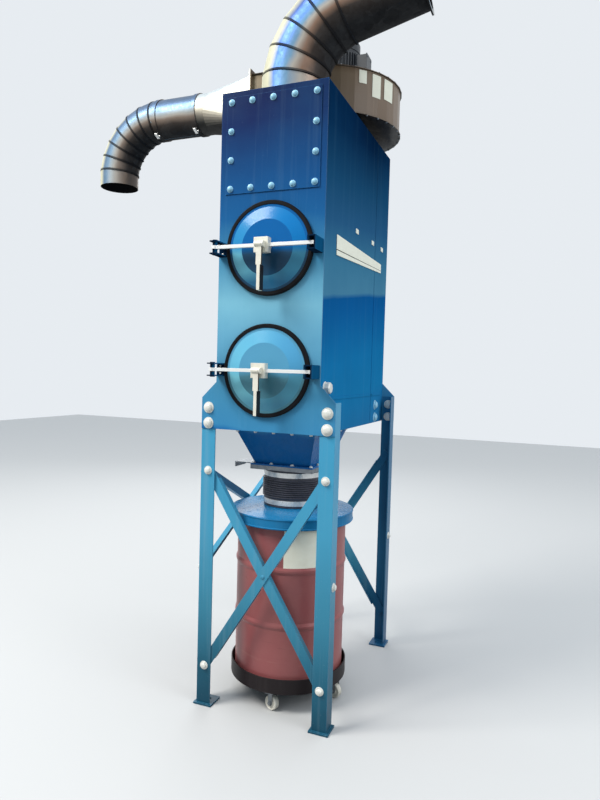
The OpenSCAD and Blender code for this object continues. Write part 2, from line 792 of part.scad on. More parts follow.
module drum_lid() {
    r = lid_d / 2;
    seal_in = drum_d / 2 - 16;
    seal_out = drum_d / 2 + 6;
    inner = duct_d / 2;
    rise = lid_collar_z - lid_top_z;
    // Height of the cone's underside at a radius
    function under(at) = lid_top_z - lid_t + rise * (r - at) / (r - collar_r);
    color(blue) translate([0, drop_y, 0]) rotate_extrude() polygon([
        [r, lid_rim_z], [r, lid_top_z], [collar_r, lid_collar_z], [collar_r, lid_collar_z + lid_collar_h],
        [inner, lid_collar_z + lid_collar_h], [inner, lid_collar_z - lid_t], [seal_in, under(seal_in)],
        [seal_in, drum_top_z], [seal_out, drum_top_z], [seal_out, under(seal_out)],
        [r - lid_t, under(r - lid_t)], [r - lid_t, lid_rim_z]
    ]);
}

// Drum wall with two rolling hoops and a rolled rim at each end
module drum() {
    r = drum_d / 2;
    hoop_w = 40;
    rim = 14;
    hoops = [for (share = [1, 2]) each let (z = drum_z + drum_h * (share * 0.325 + 0.05)) [
        [r, z - hoop_w / 2], [r + hoop_h, z - hoop_w / 8], [r + hoop_h, z + hoop_w / 8], [r, z + hoop_w / 2]
    ]];
    outer = concat(
        [[r + hoop_h, drum_z], [r + hoop_h, drum_z + rim], [r, drum_z + 2 * rim]], hoops,
        [[r, drum_top_z - 2 * rim], [r + hoop_h, drum_top_z - rim], [r + hoop_h, drum_top_z]]
    );
    inner = [[r - drum_t, drum_top_z], [r - drum_t, drum_z + rim], [0, drum_z + rim], [0, drum_z + rim - drum_t],
        [r - 2 * drum_t, drum_z + rim - drum_t], [r - 2 * drum_t, drum_z]];
    color(red) translate([0, drop_y, 0]) rotate_extrude() polygon(concat(outer, inner));
}

caster_names = [[0, -1], [1, 0], [0, 1], [-1, 0]];

// Moves its children to caster i: 0 front, 1 right, 2 back, 3 left
module at_caster(i) {
    translate([caster_names[i][0] * caster_reach, drop_y + caster_names[i][1] * caster_reach, 0]) children();
}

module dolly() {
    r = dolly_d / 2;
    color(black) {
        translate([0, drop_y, 0]) rotate_extrude() polygon([
            [0, dolly_z], [r, dolly_z], [r, dolly_z + dolly_ring_h], [r - dolly_t, dolly_z + dolly_ring_h],
            [r - dolly_t, drum_z], [0, drum_z]
        ]);
        for (i = [0:3]) at_caster(i) difference() {
            translate([0, 0, caster_pad_z]) cylinder(r = caster_pad_r, h = caster_pad_h);
            translate([0, 0, caster_pad_z - cut])
                cylinder(r = stem_r + pin_gap, h = caster_pad_h - 1 + cut);
        }
    }
}

// Swivel fork of caster i
module caster_fork(i) {
    cheek_x = wheel_w / 2 + 1;
    crown_t = 8;
    crown_y = -caster_trail - axle_r - 10;
    color(zinc) at_caster(i) rotate([0, 0, caster_turn]) {
        translate([0, 0, fork_top_z - 1]) cylinder(r = stem_r, h = dolly_z - fork_top_z - 1);
        translate([0, 0, fork_top_z - crown_t]) cylinder(r = 26, h = crown_t);
        translate([-cheek_x - fork_t, crown_y, fork_top_z - crown_t])
            cube([2 * (cheek_x + fork_t), -crown_y, crown_t]);
        for (side = [-1, 1]) translate([side * (cheek_x + fork_t / 2) - fork_t / 2, 0, 0]) {
            translate([0, crown_y, wheel_z]) cube([fork_t, 26, fork_top_z - wheel_z - crown_t / 2]);
            translate([0, -caster_trail, wheel_z]) rotate([0, 90, 0]) cylinder(r = axle_r + 8, h = fork_t);
        }
        translate([-cheek_x - fork_t - 4, -caster_trail, wheel_z]) rotate([0, 90, 0])
            cylinder(r = axle_r, h = 2 * (cheek_x + fork_t + 4));
    }
}

module front_caster_fork() { caster_fork(0); }
module right_caster_fork() { caster_fork(1); }
module back_caster_fork() { caster_fork(2); }
module left_caster_fork() { caster_fork(3); }

module caster_wheel(i) {
    soft = 4;
    hub_r = axle_r + 9;
    half = wheel_w / 2;
    color(cream) at_caster(i) rotate([0, 0, caster_turn]) translate([0, -caster_trail, wheel_z])
        rotate([0, 90, 0]) rotate_extrude() polygon([
        [axle_r + pin_gap, -half], [hub_r, -half], [hub_r + soft, -half + soft], [wheel_r - 2 * soft, -half + soft],
        [wheel_r - soft, -half], [wheel_r, -half + soft], [wheel_r, half - soft], [wheel_r - soft, half],
        [wheel_r - 2 * soft, half - soft], [hub_r + soft, half - soft], [hub_r, half], [axle_r + pin_gap, half]
    ]);
}

module front_caster_wheel() { caster_wheel(0); }
module right_caster_wheel() { caster_wheel(1); }
module back_caster_wheel() { caster_wheel(2); }
module left_caster_wheel() { caster_wheel(3); }

// Round bar of a gored elbow. It comes up from -lead_in to the origin, turns towards +X around a
// centre at bend_r, and runs on by lead_out. A disc stands out by bead at each mitred joint.
module gored_elbow(r, bend_r, turn, seams, lead_in, lead_out, bead_w, bead) {
    step = turn / seams;
    short = 0.12;
    reach = 2 * (bend_r + r);
    length = 2 * (bend_r + lead_in + lead_out);
    edge = function(angle) [bend_r - reach * cos(angle), reach * sin(angle)];
    ahead = lead_out * [sin(turn), cos(turn)];
    for (k = [0:seams]) {
        before = k == 0 ? [[bend_r, -lead_in], [-reach, -lead_in]] : [edge((k - 0.5) * step + short)];
        after = k == seams ? [edge(turn) + ahead, [bend_r, 0] + ahead] : [edge((k + 0.5) * step - short)];
        intersection() {
            front_plate(-r - cut, 2 * (r + cut)) polygon(concat([[bend_r, 0]], before, after));
            translate([bend_r, 0, 0]) rotate([0, k * step, 0]) translate([-bend_r, 0, -length / 2])
                cylinder(r = r, h = length);
        }
    }
    for (k = [1:seams]) translate([bend_r, 0, 0]) rotate([0, (k - 0.5) * step, 0])
        translate([-bend_r, 0, -bead_w / 2]) cylinder(r = r / cos(step / 2) + bead, h = bead_w);
}

// Gored elbow as a duct, with seams that are hollow inside
module elbow_duct(r, bend_r, turn, seams, lead_in, lead_out) {
    difference() {
        gored_elbow(r, bend_r, turn, seams, lead_in, lead_out, seam_w, seam_h);
        gored_elbow(r - duct_t, bend_r, turn, seams, lead_in + cut, lead_out + cut, seam_w - duct_t, seam_h / 2);
    }
}

// Rolled flange around the end of a duct, drawn along +Z
module end_flange(r) {
    rotate_extrude() polygon([[r - cut, -flange_t], [r + flange_w, -flange_t], [r + flange_w, 0], [r - cut, 0]]);
}

// Moves its children to the elbow's open end, with +Z of the child pointing out of it
module at_inlet_mouth() {
    translate([inlet_bend_r, 0, 0]) rotate([0, inlet_turn, 0]) translate([-inlet_bend_r, 0, inlet_pipe_len])
        children();
}

module inlet_elbow() {
    color(zinc) translate([0, inlet_y, inlet_bend_z]) difference() {
        union() {
            elbow_duct(inlet_r, inlet_bend_r, inlet_turn, inlet_seams, inlet_collar_h, inlet_pipe_len);
            at_inlet_mouth() end_flange(inlet_r);
        }
        at_inlet_mouth() translate([0, 0, -socket_len])
            cylinder(r = inlet_r - duct_t + socket_t, h = socket_len + cut);
    }
}

// Outline of the fan's spiral and of its outlet neck, grown by an extra width
module scroll_outline(extra) {
    turn = 290;
    spiral = [for (a = [0:10:turn]) let (r = scroll_r * exp(-scroll_rate * a * PI / 180) + extra)
        [fan_x + r * sin(a), fan_y - r * cos(a)]];
    neck_back = outlet_front_y + outlet_w;
    neck = [
        [-outlet_x + neck_len, neck_back + extra], [-outlet_x, neck_back + extra], [-outlet_x, outlet_front_y - extra]
    ];
    polygon(concat(spiral, neck));
}

module fan_housing() {
    flange_y = outlet_front_y - flange_w;
    color(tan) {
        difference() {
            union() {
                translate([0, 0, fan_z]) linear_extrude(fan_h) scroll_outline(0);
                for (z = [fan_z, fan_top_z - scroll_plate_t]) translate([0, 0, z])
                    linear_extrude(scroll_plate_t) scroll_outline(scroll_lip);
                translate([-outlet_x - cut, flange_y, fan_z - flange_w])
                    cube([scroll_plate_t + cut, outlet_w + 2 * flange_w, fan_h + 2 * flange_w]);
            }
            translate([-outlet_x - 2 * cut, flange_y - cut, fan_z - flange_w - cut])
                cube([2 * cut, outlet_w + 2 * (flange_w + cut), fan_h + 2 * (flange_w + cut)]);
        }
        translate([fan_x, fan_y, cab_top_z]) difference() {
            cylinder(r = eye_r, h = fan_gap);
            translate([0, 0, -cut]) cylinder(r = eye_r - duct_t, h = fan_gap + cut);
        }
    }
}

module fan_motor() {
    base_t = 12;
    body_z = fan_top_z + base_t;
    box_in = 20;
    color(gray) translate([fan_x, fan_y, 0]) {
        translate([0, 0, fan_top_z]) cylinder(r = motor_r + 20, h = base_t);
        translate([0, 0, body_z]) cylinder(r = motor_r, h = motor_h);
        translate([0, 0, body_z + motor_h]) rotate_extrude() polygon([
            [0, 0], [motor_r + 4, 0], [motor_r + 4, cowl_h * 0.7], [motor_r - 12, cowl_h], [0, cowl_h]
        ]);
        translate([motor_r - box_in, -box_w / 2, body_z + box_rise]) cube([box_in + box_out, box_w, box_h]);
    }
}

// Round spigot along -X from the transition's end
module along_left(x) {
    translate([x, outlet_mid_y, outlet_mid_z]) rotate([0, -90, 0]) children();
}

module outlet_transition() {
    skin = 1;
    rect = [skin, outlet_w, fan_h];
    bore_r = exhaust_r - duct_t;
    color(zinc) {
        difference() {
            hull() {
                translate([-outlet_x - skin, outlet_front_y, fan_z]) cube(rect);
                along_left(spigot_x + skin) cylinder(r = exhaust_r, h = skin, $fn = 40);
            }
            hull() {
                translate([-outlet_x, outlet_front_y + duct_t, fan_z + duct_t])
                    cube([skin, outlet_w - 2 * duct_t, fan_h - 2 * duct_t]);
                along_left(spigot_x) cylinder(r = bore_r, h = skin, $fn = 40);
            }
        }
        difference() {
            translate([-outlet_x - flange_t, outlet_front_y - flange_w, fan_z - flange_w])
                cube([flange_t, outlet_w + 2 * flange_w, fan_h + 2 * flange_w]);
            translate([-outlet_x - flange_t - cut, outlet_front_y + duct_t, fan_z + duct_t])
                cube([flange_t + 2 * cut, outlet_w - 2 * duct_t, fan_h - 2 * duct_t]);
        }
        along_left(spigot_x) difference() {
            cylinder(r = exhaust_r, h = spigot_len);
            translate([0, 0, -cut]) cylinder(r = bore_r, h = spigot_len + 2 * cut);
        }
    }
}

// Clamp band around a joint of the exhaust duct, centred on its own origin along Z
module band() {
    translate([0, 0, -band_w / 2]) difference() {
        cylinder(r = exhaust_r + band_h, h = band_w);
        translate([0, 0, -cut]) cylinder(r = exhaust_r, h = band_w + 2 * cut);
    }
}

module exhaust_pipe() {
    color(zinc) {
        along_left(pipe_x) difference() {
            cylinder(r = exhaust_r, h = exhaust_pipe_len);
            translate([0, 0, -cut]) cylinder(r = exhaust_r - duct_t, h = exhaust_pipe_len + 2 * cut);
        }
        along_left(pipe_x) band();
        along_left(bend_x) band();
    }
}

module exhaust_elbow() {
    open_x = bend_x - exhaust_bend_r;
    color(zinc) translate([open_x, outlet_mid_y, outlet_mid_z - exhaust_bend_r]) difference() {
        elbow_duct(exhaust_r, exhaust_bend_r, 90, exhaust_seams, exhaust_collar, 0);
        translate([0, 0, -exhaust_collar - cut]) cylinder(r = exhaust_r - duct_t + socket_t, h = socket_len + cut);
    }
}

// Air tank across the back, with a valve and a blow pipe for each filter
module air_header() {
    valve_z = -header_r - valve_drop;
    color(blue) translate([0, header_y, header_z]) {
        difference() {
            translate([-header_len / 2, 0, 0]) rotate([0, 90, 0]) cylinder(r = header_r, h = header_len);
            translate([header_len / 2 - port_len, 0, 0]) rotate([0, 90, 0]) cylinder(r = port_r, h = port_len + cut);
        }
        for (side = [-1, 1]) {
            translate([side * header_len * 0.38 - 15, -header_out + panel_t, -20])
                cube([30, header_out - panel_t - header_r + 10, 40]);
            translate([side * header_len / 4, 0, valve_z]) cylinder(r = blow_r, h = -valve_z - header_r + 8);
            translate([side * header_len / 4, -header_out + panel_t, valve_z]) rotate([-90, 0, 0])
                cylinder(r = blow_r, h = header_out - panel_t);
            translate([side * header_len / 4, -10, valve_z]) rotate([-90, 0, 0]) cylinder(r = valve_r, h = 55);
        }
    }
}

front_sheet();
back_sheet();
side_sheet(-1);  // left_side_sheet
side_sheet(1);  // right_side_sheet
top_sheet();
floor_pan();
tube_sheet();
cartridges();
inlet_panel();
back_panel();
yoke_brackets();
cover_gaskets();
upper_cover();
lower_cover();
upper_yoke();
upper_clamp();
upper_lever();
lower_yoke();
lower_clamp();
lower_lever();
hopper();
gate_frame();
gate_blade();
hose();
hose_clamps();
drum_lid();
drum();
dolly();
front_caster_fork();
right_caster_fork();
back_caster_fork();
left_caster_fork();
front_caster_wheel();
right_caster_wheel();
back_caster_wheel();
left_caster_wheel();
front_right_leg();
front_left_leg();
back_right_leg();
back_left_leg();
front_rising_brace();
front_falling_brace();
back_rising_brace();
back_falling_brace();
left_rising_brace();
left_falling_brace();
inlet_elbow();
fan_housing();
fan_motor();
outlet_transition();
exhaust_pipe();
exhaust_elbow();
air_header();
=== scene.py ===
# %% [markdown]
# # A cartridge dust collector in Blender
# The solids of this machine come from a CAD model, and they arrive here as a fixed frame that stays as it
# is. This file gives every solid its paint or metal, and adds the small things that CAD leaves out: bolts,
# seams, fins, pleats and bare plates. Each cell makes one piece or one finish, and says why it is made that
# way.

# %% Load the frame
import json
import math

import bmesh
import bpy
from mathutils import Matrix, Vector


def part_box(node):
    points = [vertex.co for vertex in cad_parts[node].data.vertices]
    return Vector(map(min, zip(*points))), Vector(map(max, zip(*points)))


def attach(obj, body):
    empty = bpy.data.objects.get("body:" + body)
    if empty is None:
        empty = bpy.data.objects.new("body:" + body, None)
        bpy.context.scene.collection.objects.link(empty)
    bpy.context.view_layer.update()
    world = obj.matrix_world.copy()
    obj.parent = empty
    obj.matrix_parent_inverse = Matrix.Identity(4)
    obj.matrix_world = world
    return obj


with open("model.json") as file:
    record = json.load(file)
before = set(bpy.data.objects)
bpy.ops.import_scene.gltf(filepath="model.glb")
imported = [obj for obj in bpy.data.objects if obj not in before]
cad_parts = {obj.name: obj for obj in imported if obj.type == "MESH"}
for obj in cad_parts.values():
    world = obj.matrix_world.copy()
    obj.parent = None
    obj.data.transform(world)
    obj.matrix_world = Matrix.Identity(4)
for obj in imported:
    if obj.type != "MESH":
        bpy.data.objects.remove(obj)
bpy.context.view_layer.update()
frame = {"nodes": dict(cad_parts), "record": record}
nodes = frame["nodes"]

# %% [markdown]
# The camera stands a little to the right of the machine at chest height and looks slightly down and to the
# left. Its place, angles and focal length come from matching straight edges of the cabinet and legs, so the
# same numbers also say how far apart two pieces look. The turn is built from the three angles, without a
# tracking rule.

# %% Camera
camera_place = Vector((1.2752, -3.3034, 1.7183))
yaw, pitch, roll = 0.383, -0.0459, 0.0279
focal_px, frame_height_px = 625.18, 800
sensor_mm = 36

ahead = Vector((-math.sin(yaw) * math.cos(pitch), math.cos(yaw) * math.cos(pitch), math.sin(pitch)))
level = Vector((math.cos(yaw), math.sin(yaw), 0))
upright = level.cross(ahead)
right = math.cos(roll) * level + math.sin(roll) * upright
up = -math.sin(roll) * level + math.cos(roll) * upright

camera = bpy.data.objects.new("camera", bpy.data.cameras.new("camera"))
camera.data.sensor_width = sensor_mm
camera.data.lens = focal_px * sensor_mm / frame_height_px
camera.matrix_world = Matrix.Translation(camera_place) @ Matrix((right, up, -ahead)).transposed().to_4x4()
bpy.context.scene.collection.objects.link(camera)
bpy.context.scene.camera = camera
print("lens", round(camera.data.lens, 2), "mm")

# %% [markdown]
# Glossy enamel and galvanised sheet look like what is around them, so the light matters as much as the
# paint. A large soft lamp stands high on the left, and weak ones fill from the right and from behind. Most
# of the light comes from overhead: the world is dim at the horizon and bright above, which gives the
# upright sheets their deep colour. The camera sees a plain pale backdrop instead, and so do metal and
# glass, through the Light Path node.

# %% Light and floor
scene = bpy.context.scene
scene.view_settings.view_transform = "Standard"


def soft_lamp(name, place, target, size, watts, tint):
    """A square area lamp that faces the target."""
    lamp = bpy.data.objects.new(name, bpy.data.lights.new(name, "AREA"))
    lamp.data.size, lamp.data.energy, lamp.data.color = size, watts, tint
    lamp.location = place
    lamp.rotation_euler = (Vector(target) - Vector(place)).to_track_quat("-Z", "Y").to_euler()
    scene.collection.objects.link(lamp)


soft_lamp("sun_side", (-4.2, -4.4, 7.6), (0, 0, 1.5), 3.0, 760, (1, 0.97, 0.92))
soft_lamp("right_fill", (6.4, -1.6, 4.2), (0, 0, 1.6), 3.5, 150, (0.94, 0.97, 1))
soft_lamp("back_fill", (-3.0, 5.5, 4.6), (0, 0, 1.8), 3.5, 110, (1, 1, 1))


def set_stops(ramp, stops):
    """Gives a colour ramp its stops: (position, colour) pairs that rise from 0 to 1."""
    while len(ramp.elements) < len(stops):
        ramp.elements.new(0.5)
    for element, (position, colour) in zip(ramp.elements, stops):
        element.position, element.color = position, (*colour, 1)


world = bpy.data.worlds.new("studio")
scene.world = world
world.use_nodes = True
studio = world.node_tree


def sky_node(kind, settings, links):
    """Adds a node to the world. Its links are sockets of other nodes or plain values."""
    step = studio.nodes.new(kind)
    for key, value in settings.items():
        setattr(step, key, value)
    for key, value in links.items():
        if isinstance(value, bpy.types.NodeSocket):
            studio.links.new(value, step.inputs[key])
        else:
            step.inputs[key].default_value = value
    return step


direction = sky_node("ShaderNodeTexCoord", {}, {}).outputs["Generated"]
rise = sky_node("ShaderNodeSeparateXYZ", {}, {0: direction}).outputs["Z"]
surround = sky_node("ShaderNodeValToRGB", {}, {0: rise})
sky_colours = [(0.0, (0.10, 0.16, 0.21)), (0.30, (0.12, 0.18, 0.23)), (0.72, (1.2, 1.3, 1.4)),
               (1.0, (1.75, 1.85, 1.95))]
set_stops(surround.color_ramp, sky_colours)
rays = sky_node("ShaderNodeLightPath", {}, {})
backdrop_colour = (0.80, 0.84, 0.88)
seen = sky_node("ShaderNodeMath", {"operation": "ADD", "use_clamp": True}, {
    0: rays.outputs["Is Camera Ray"], 1: rays.outputs["Is Glossy Ray"]}).outputs[0]
seen = sky_node("ShaderNodeMath", {"operation": "ADD", "use_clamp": True}, {
    0: seen, 1: rays.outputs["Is Transmission Ray"]}).outputs[0]
backdrop = sky_node("ShaderNodeMix", {"data_type": "RGBA"}, {
    0: seen, 6: surround.outputs["Color"], 7: (*backdrop_colour, 1)}).outputs[2]
studio.links.new(backdrop, studio.nodes["Background"].inputs["Color"])
studio.nodes["Background"].inputs["Strength"].default_value = 1.0

floor_half = 14
floor_mesh = bpy.data.meshes.new("floor")
floor_mesh.from_pydata([(-floor_half, -floor_half, 0), (floor_half, -floor_half, 0),
                        (floor_half, floor_half, 0), (-floor_half, floor_half, 0)], [], [(0, 1, 2, 3)])
floor = bpy.data.objects.new("floor", floor_mesh)
scene.collection.objects.link(floor)

# %% [markdown]
# Shader maths reads best as plain sums. The first class below wraps a socket, so `1 - mask * 0.5` adds the
# Math nodes it needs. The second is a finish: one method adds any node, with its settings first and then
# the values or links of its sockets, and the others are steps that most finishes share.

# %% Shader helper
SUMS = {"add": "ADD", "sub": "SUBTRACT", "mul": "MULTIPLY", "truediv": "DIVIDE"}
MIX_SOCKETS = {"RGBA": (6, 7, 2), "VECTOR": (4, 5, 1)}


class Wire:
    """An output socket that can take part in Python sums."""

    def __init__(self, tree, socket):
        self.tree, self.socket = tree, socket

    def maths(self, operation, *values, clamp=False):
        """A Math node in this wire's tree, fed with the values."""
        step = self.tree.nodes.new("ShaderNodeMath")
        step.operation, step.use_clamp = operation, clamp
        for socket, value in zip(step.inputs, values):
            feed(self.tree, socket, value)
        return Wire(self.tree, step.outputs[0])

    def clamped(self):
        """The same wire, kept between 0 and 1."""
        return self.maths("ADD", self, 0, clamp=True)


def feed(tree, socket, value):
    """Links a wire to a socket, or sets the socket to a plain value."""
    if isinstance(value, Wire):
        tree.links.new(value.socket, socket)
    else:
        socket.default_value = value


for word, operation in SUMS.items():
    setattr(Wire, f"__{word}__", lambda self, other, kind=operation: self.maths(kind, self, other))
    setattr(Wire, f"__r{word}__", lambda self, other, kind=operation: self.maths(kind, other, self))


class Finish:
    """A material with one Principled shader. Its fixed numbers are set on the shader's own sockets."""

    def __init__(self, name, **fixed):
        self.material = bpy.data.materials.new(name)
        self.material.use_nodes = True
        self.tree = self.material.node_tree
        self.shader = self.tree.nodes["Principled BSDF"]
        for key, value in fixed.items():
            self.shader.inputs[key.replace("_", " ").title().replace("Ior", "IOR")].default_value = value
        spot = self.node("ShaderNodeTexCoord")
        self.place, self.facing = spot["Object"], spot["Normal"]

    def node(self, kind, settings=None, values=None):
        """Adds a node and gives its outputs by name."""
        step = self.tree.nodes.new(kind)
        for key, value in (settings or {}).items():
            setattr(step, key, value)
        for key, value in (values or {}).items():
            feed(self.tree, step.inputs[key], value)
        return {socket.name: Wire(self.tree, socket) for socket in step.outputs if socket.enabled}

    def split(self, vector):
        """The X, Y and Z of a vector, by name."""
        return self.node("ShaderNodeSeparateXYZ", {}, {0: vector})

    def scaled(self, x, y, z):
        """The object's own coordinates, stretched by a factor on each axis."""
        return self.node("ShaderNodeMapping", {}, {"Vector": self.place, "Scale": (x, y, z)})["Vector"]

    def noise(self, scale, detail, rough, place=None):
        """A cloudy value round 0.5, whose grains get smaller as the scale grows."""
        return self.node("ShaderNodeTexNoise", {}, {
            "Vector": place or self.place, "Scale": scale, "Detail": detail, "Roughness": rough})["Fac"]

    def ramp(self, value, low, high):
        """A wire that goes from 0 at low to 1 at high."""
        return self.node("ShaderNodeMapRange", {"clamp": True}, {
            "Value": value, "From Min": low, "From Max": high})["Result"]

    def banded(self, value, bands):
        """A colour that follows a value through rising (value, colour) pairs."""
        low, high = bands[0][0], bands[-1][0]
        colour = self.node("ShaderNodeValToRGB", {}, {0: (value - low) * (1 / (high - low))})["Color"]
        set_stops(self.tree.nodes[-1].color_ramp, [((at - low) / (high - low), tint) for at, tint in bands])
        return colour

    def mix(self, factor, first, second, kind="RGBA"):
        """Goes from the first colour or vector to the second as the factor goes from 0 to 1."""
        self.node("ShaderNodeMix", {"data_type": kind})
        mixer = self.tree.nodes[-1]
        first_in, second_in, out = MIX_SOCKETS[kind]
        for slot, value in ((0, factor), (first_in, first), (second_in, second)):
            feed(self.tree, mixer.inputs[slot], (*value, 1) if isinstance(value, tuple) else value)
        return Wire(self.tree, mixer.outputs[out])

    def rub(self, radius):
        """How far a rounded corner would turn the surface: 0 on flats, more along outer edges."""
        soft = self.node("ShaderNodeBevel", {"samples": 4}, {"Radius": radius})["Normal"]
        flat = self.node("ShaderNodeNewGeometry")["Normal"]
        dot = self.node("ShaderNodeVectorMath", {"operation": "DOT_PRODUCT"}, {0: soft, 1: flat})["Value"]
        return self.ramp(1 - dot, 0.02, 0.2)

    def paint(self, colour):
        """Links the shader's colour."""
        feed(self.tree, self.shader.inputs["Base Color"], colour)

    def gloss(self, rough):
        """Links the shader's roughness."""
        feed(self.tree, self.shader.inputs["Roughness"], rough)

    def bump(self, height, distance, strength=1.0, corner=0.0):
        """Relief from a height wire, on top of softly rounded corners."""
        values = {"Height": height, "Distance": distance, "Strength": strength}
        if corner:
            values["Normal"] = self.node("ShaderNodeBevel", {"samples": 4}, {"Radius": corner})["Normal"]
        feed(self.tree, self.shader.inputs["Normal"], self.node("ShaderNodeBump", {}, values)["Normal"])


print("shader helper ready")

# %% [markdown]
# The cabinet's enamel is a deep blue. Real spray paint has a faint orange peel, and outdoors it fades in soft
# clouds and shows thin runs where rain came down. Up the front its colour is a painted reflection: nearly black
# under the top, palest between the two covers, and deep again below. On the right side a painted reflection
# turns pale above a sharp painted shadow edge, which climbs a little towards the back. The legs are dark at
# their feet and paler above, and their back right corner gets painted shade. The brackets of the cover bars are
# painted shade, nearly black, with bluer painted light on their faces turned to +X.

# %% Blue enamel


def orange_peel(skin):
    """The fine and the broad ripples of sprayed paint."""
    skin.bump(skin.noise(240, 2, 0.5) + skin.noise(9, 2, 0.5) * 2, 0.0006, 0.35, corner=0.0018)


def enamel(name, deep, faded, dust, rough, dusty, heights=None, wobble=0.16, shine=0.35, coat=0.25,
           right_face_light=None, corner_shade=None, climb=0.0):
    """heights is a list of (height in metres, colour) up the machine. On the cabinet's front these colours are
    a painted reflection, and on its right side a painted reflection with a sharp painted shadow edge. The
    colours climb by climb metres for each metre towards the back, so that this edge climbs. The colour given
    for the sides turned to +X is painted light, and the one given for the back right corner is painted shade."""
    skin = Finish(name, metallic=0.0, coat_roughness=0.10, specular_ior_level=shine)
    clouds = skin.ramp(skin.noise(1.7, 4, 0.55), 0.36, 0.68)
    runs = skin.ramp(skin.noise(1.0, 5, 0.6, skin.scaled(26, 26, 0.9)), 0.52, 0.78)
    specks = skin.ramp(skin.noise(90, 3, 0.6), 0.66, 0.78)
    worn = skin.rub(0.004)
    body = skin.mix(clouds, deep, faded)
    # Painted reflection and painted shade up the machine, read from the heights table.
    if heights:
        spot = skin.split(skin.place)
        height = spot["Z"] - spot["Y"] * climb + (skin.noise(2.2, 3, 0.5) - 0.5) * wobble
        body = skin.mix(clouds * (0.22 if wobble else 0), skin.banded(height, heights), faded)
    # Painted shade on the back right corner.
    if corner_shade:
        corner = skin.split(skin.place)
        away = skin.ramp(corner["X"], 0.1, 0.3) * skin.ramp(corner["Y"], -0.35, 0.45)
        body = skin.mix((away * 0.75).clamped(), body, corner_shade)
    # Painted light on the faces turned to +X.
    if right_face_light:
        turned = skin.ramp(skin.split(skin.facing)["X"], 0.15, 0.75)
        body = skin.mix((turned * (0.55 + runs * 0.35)).clamped(), body, right_face_light)
    body = skin.mix((runs * 0.16 * dusty).clamped(), body, dust)
    body = skin.mix((specks * 0.12 * dusty).clamped(), body, dust)
    skin.paint(skin.mix((worn * 0.35).clamped(), body, tuple(min(1, 1.6 * v + 0.03) for v in faded)))
    skin.gloss((rough + runs * 0.12 + specks * 0.15 + clouds * 0.05).clamped())
    feed(skin.tree, skin.shader.inputs["Coat Weight"], (coat - runs * 0.2).clamped())
    orange_peel(skin)
    return skin.material


# Painted reflection up the front: dark under the top, palest between the covers.
front_painted_reflection = [(0.90, (0.014, 0.190, 0.400)), (1.10, (0.012, 0.160, 0.340)), (1.20, (0.007, 0.125, 0.370)),
                 (1.40, (0.008, 0.140, 0.400)), (1.43, (0.050, 0.260, 0.485)), (1.62, (0.064, 0.280, 0.468)),
                 (1.88, (0.150, 0.420, 0.590)), (2.04, (0.212, 0.515, 0.655)), (2.24, (0.066, 0.288, 0.484)),
                 (2.46, (0.010, 0.105, 0.290)), (2.62, (0.006, 0.070, 0.220)), (2.90, (0.002, 0.012, 0.080)),
                 (3.06, (0.001, 0.008, 0.060))]
# Painted reflection on the right side, with a sharp painted shadow edge between 2.125 and 2.15 m.
side_painted_reflection = [(1.42, (0.022, 0.190, 0.412)), (1.60, (0.013, 0.210, 0.455)), (1.80, (0.010, 0.194, 0.446)),
                (2.05, (0.006, 0.124, 0.364)), (2.125, (0.005, 0.108, 0.330)), (2.150, (0.080, 0.255, 0.390)),
                (2.30, (0.058, 0.215, 0.345)), (2.50, (0.026, 0.115, 0.245)), (2.70, (0.012, 0.075, 0.168)),
                (2.95, (0.003, 0.021, 0.067)), (3.06, (0.002, 0.016, 0.056))]
leg_heights = [(0.00, (0.005, 0.045, 0.075)), (0.22, (0.013, 0.090, 0.140)), (0.55, (0.045, 0.232, 0.342)),
               (0.95, (0.062, 0.325, 0.505)), (1.45, (0.060, 0.345, 0.560))]
blue_enamel = enamel("blue_enamel", (0.004, 0.050, 0.150), (0.010, 0.110, 0.270), (0.18, 0.34, 0.46), 0.24,
                     0.5, front_painted_reflection, shine=0.08, coat=0.06)
side_enamel = enamel("side_enamel", (0.004, 0.060, 0.150), (0.006, 0.080, 0.205), (0.12, 0.28, 0.40), 0.30,
                     0.5, side_painted_reflection, wobble=0.03, shine=0.0, coat=0.0, climb=0.126)
# The legs' back right corner gets painted shade.
leg_enamel = enamel("leg_enamel", (0.030, 0.190, 0.330), (0.045, 0.240, 0.400), (0.34, 0.46, 0.52), 0.32, 1.2,
                    leg_heights, shine=0.12, coat=0.08, corner_shade=(0.008, 0.075, 0.190))
# The brackets are painted shade, nearly black, with bluer painted light on their faces turned to +X.
bracket_shade_enamel = enamel("bracket_shade_enamel", (0.002, 0.010, 0.030), (0.004, 0.020, 0.050), (0.16, 0.30, 0.40),
                        0.30, 0.6, shine=0.0, coat=0.0, right_face_light=(0.006, 0.130, 0.300))

# %% [markdown]
# The fan's paint is a warm tan. The lip at the bottom of its wall and the underside there are painted shade,
# nearly black, and the top lip is nearly black too, so the colour changes within two millimetres there. The
# faces turned to +X get a paler painted light.

# %% Fan enamel
fan_low, fan_high = 3.100, 3.340
lip_end, wall_end = 0.004, 0.006
# The bottom lip and the underside are painted shade.
low_lip_shade, high_lip_colour = (0.006, 0.005, 0.004), (0.020, 0.017, 0.015)
fan_heights = [(fan_low - 0.05, low_lip_shade), (fan_low + lip_end, low_lip_shade),
               (fan_low + wall_end, (0.170, 0.130, 0.085)), (3.20, (0.200, 0.155, 0.105)),
               (3.30, (0.230, 0.180, 0.115)), (fan_high - wall_end, (0.170, 0.120, 0.065)),
               (fan_high - lip_end, high_lip_colour), (fan_high + 0.04, high_lip_colour)]
tan_enamel = enamel("tan_enamel", (0.230, 0.170, 0.100), (0.330, 0.260, 0.170), (0.50, 0.45, 0.36), 0.36, 1.0)
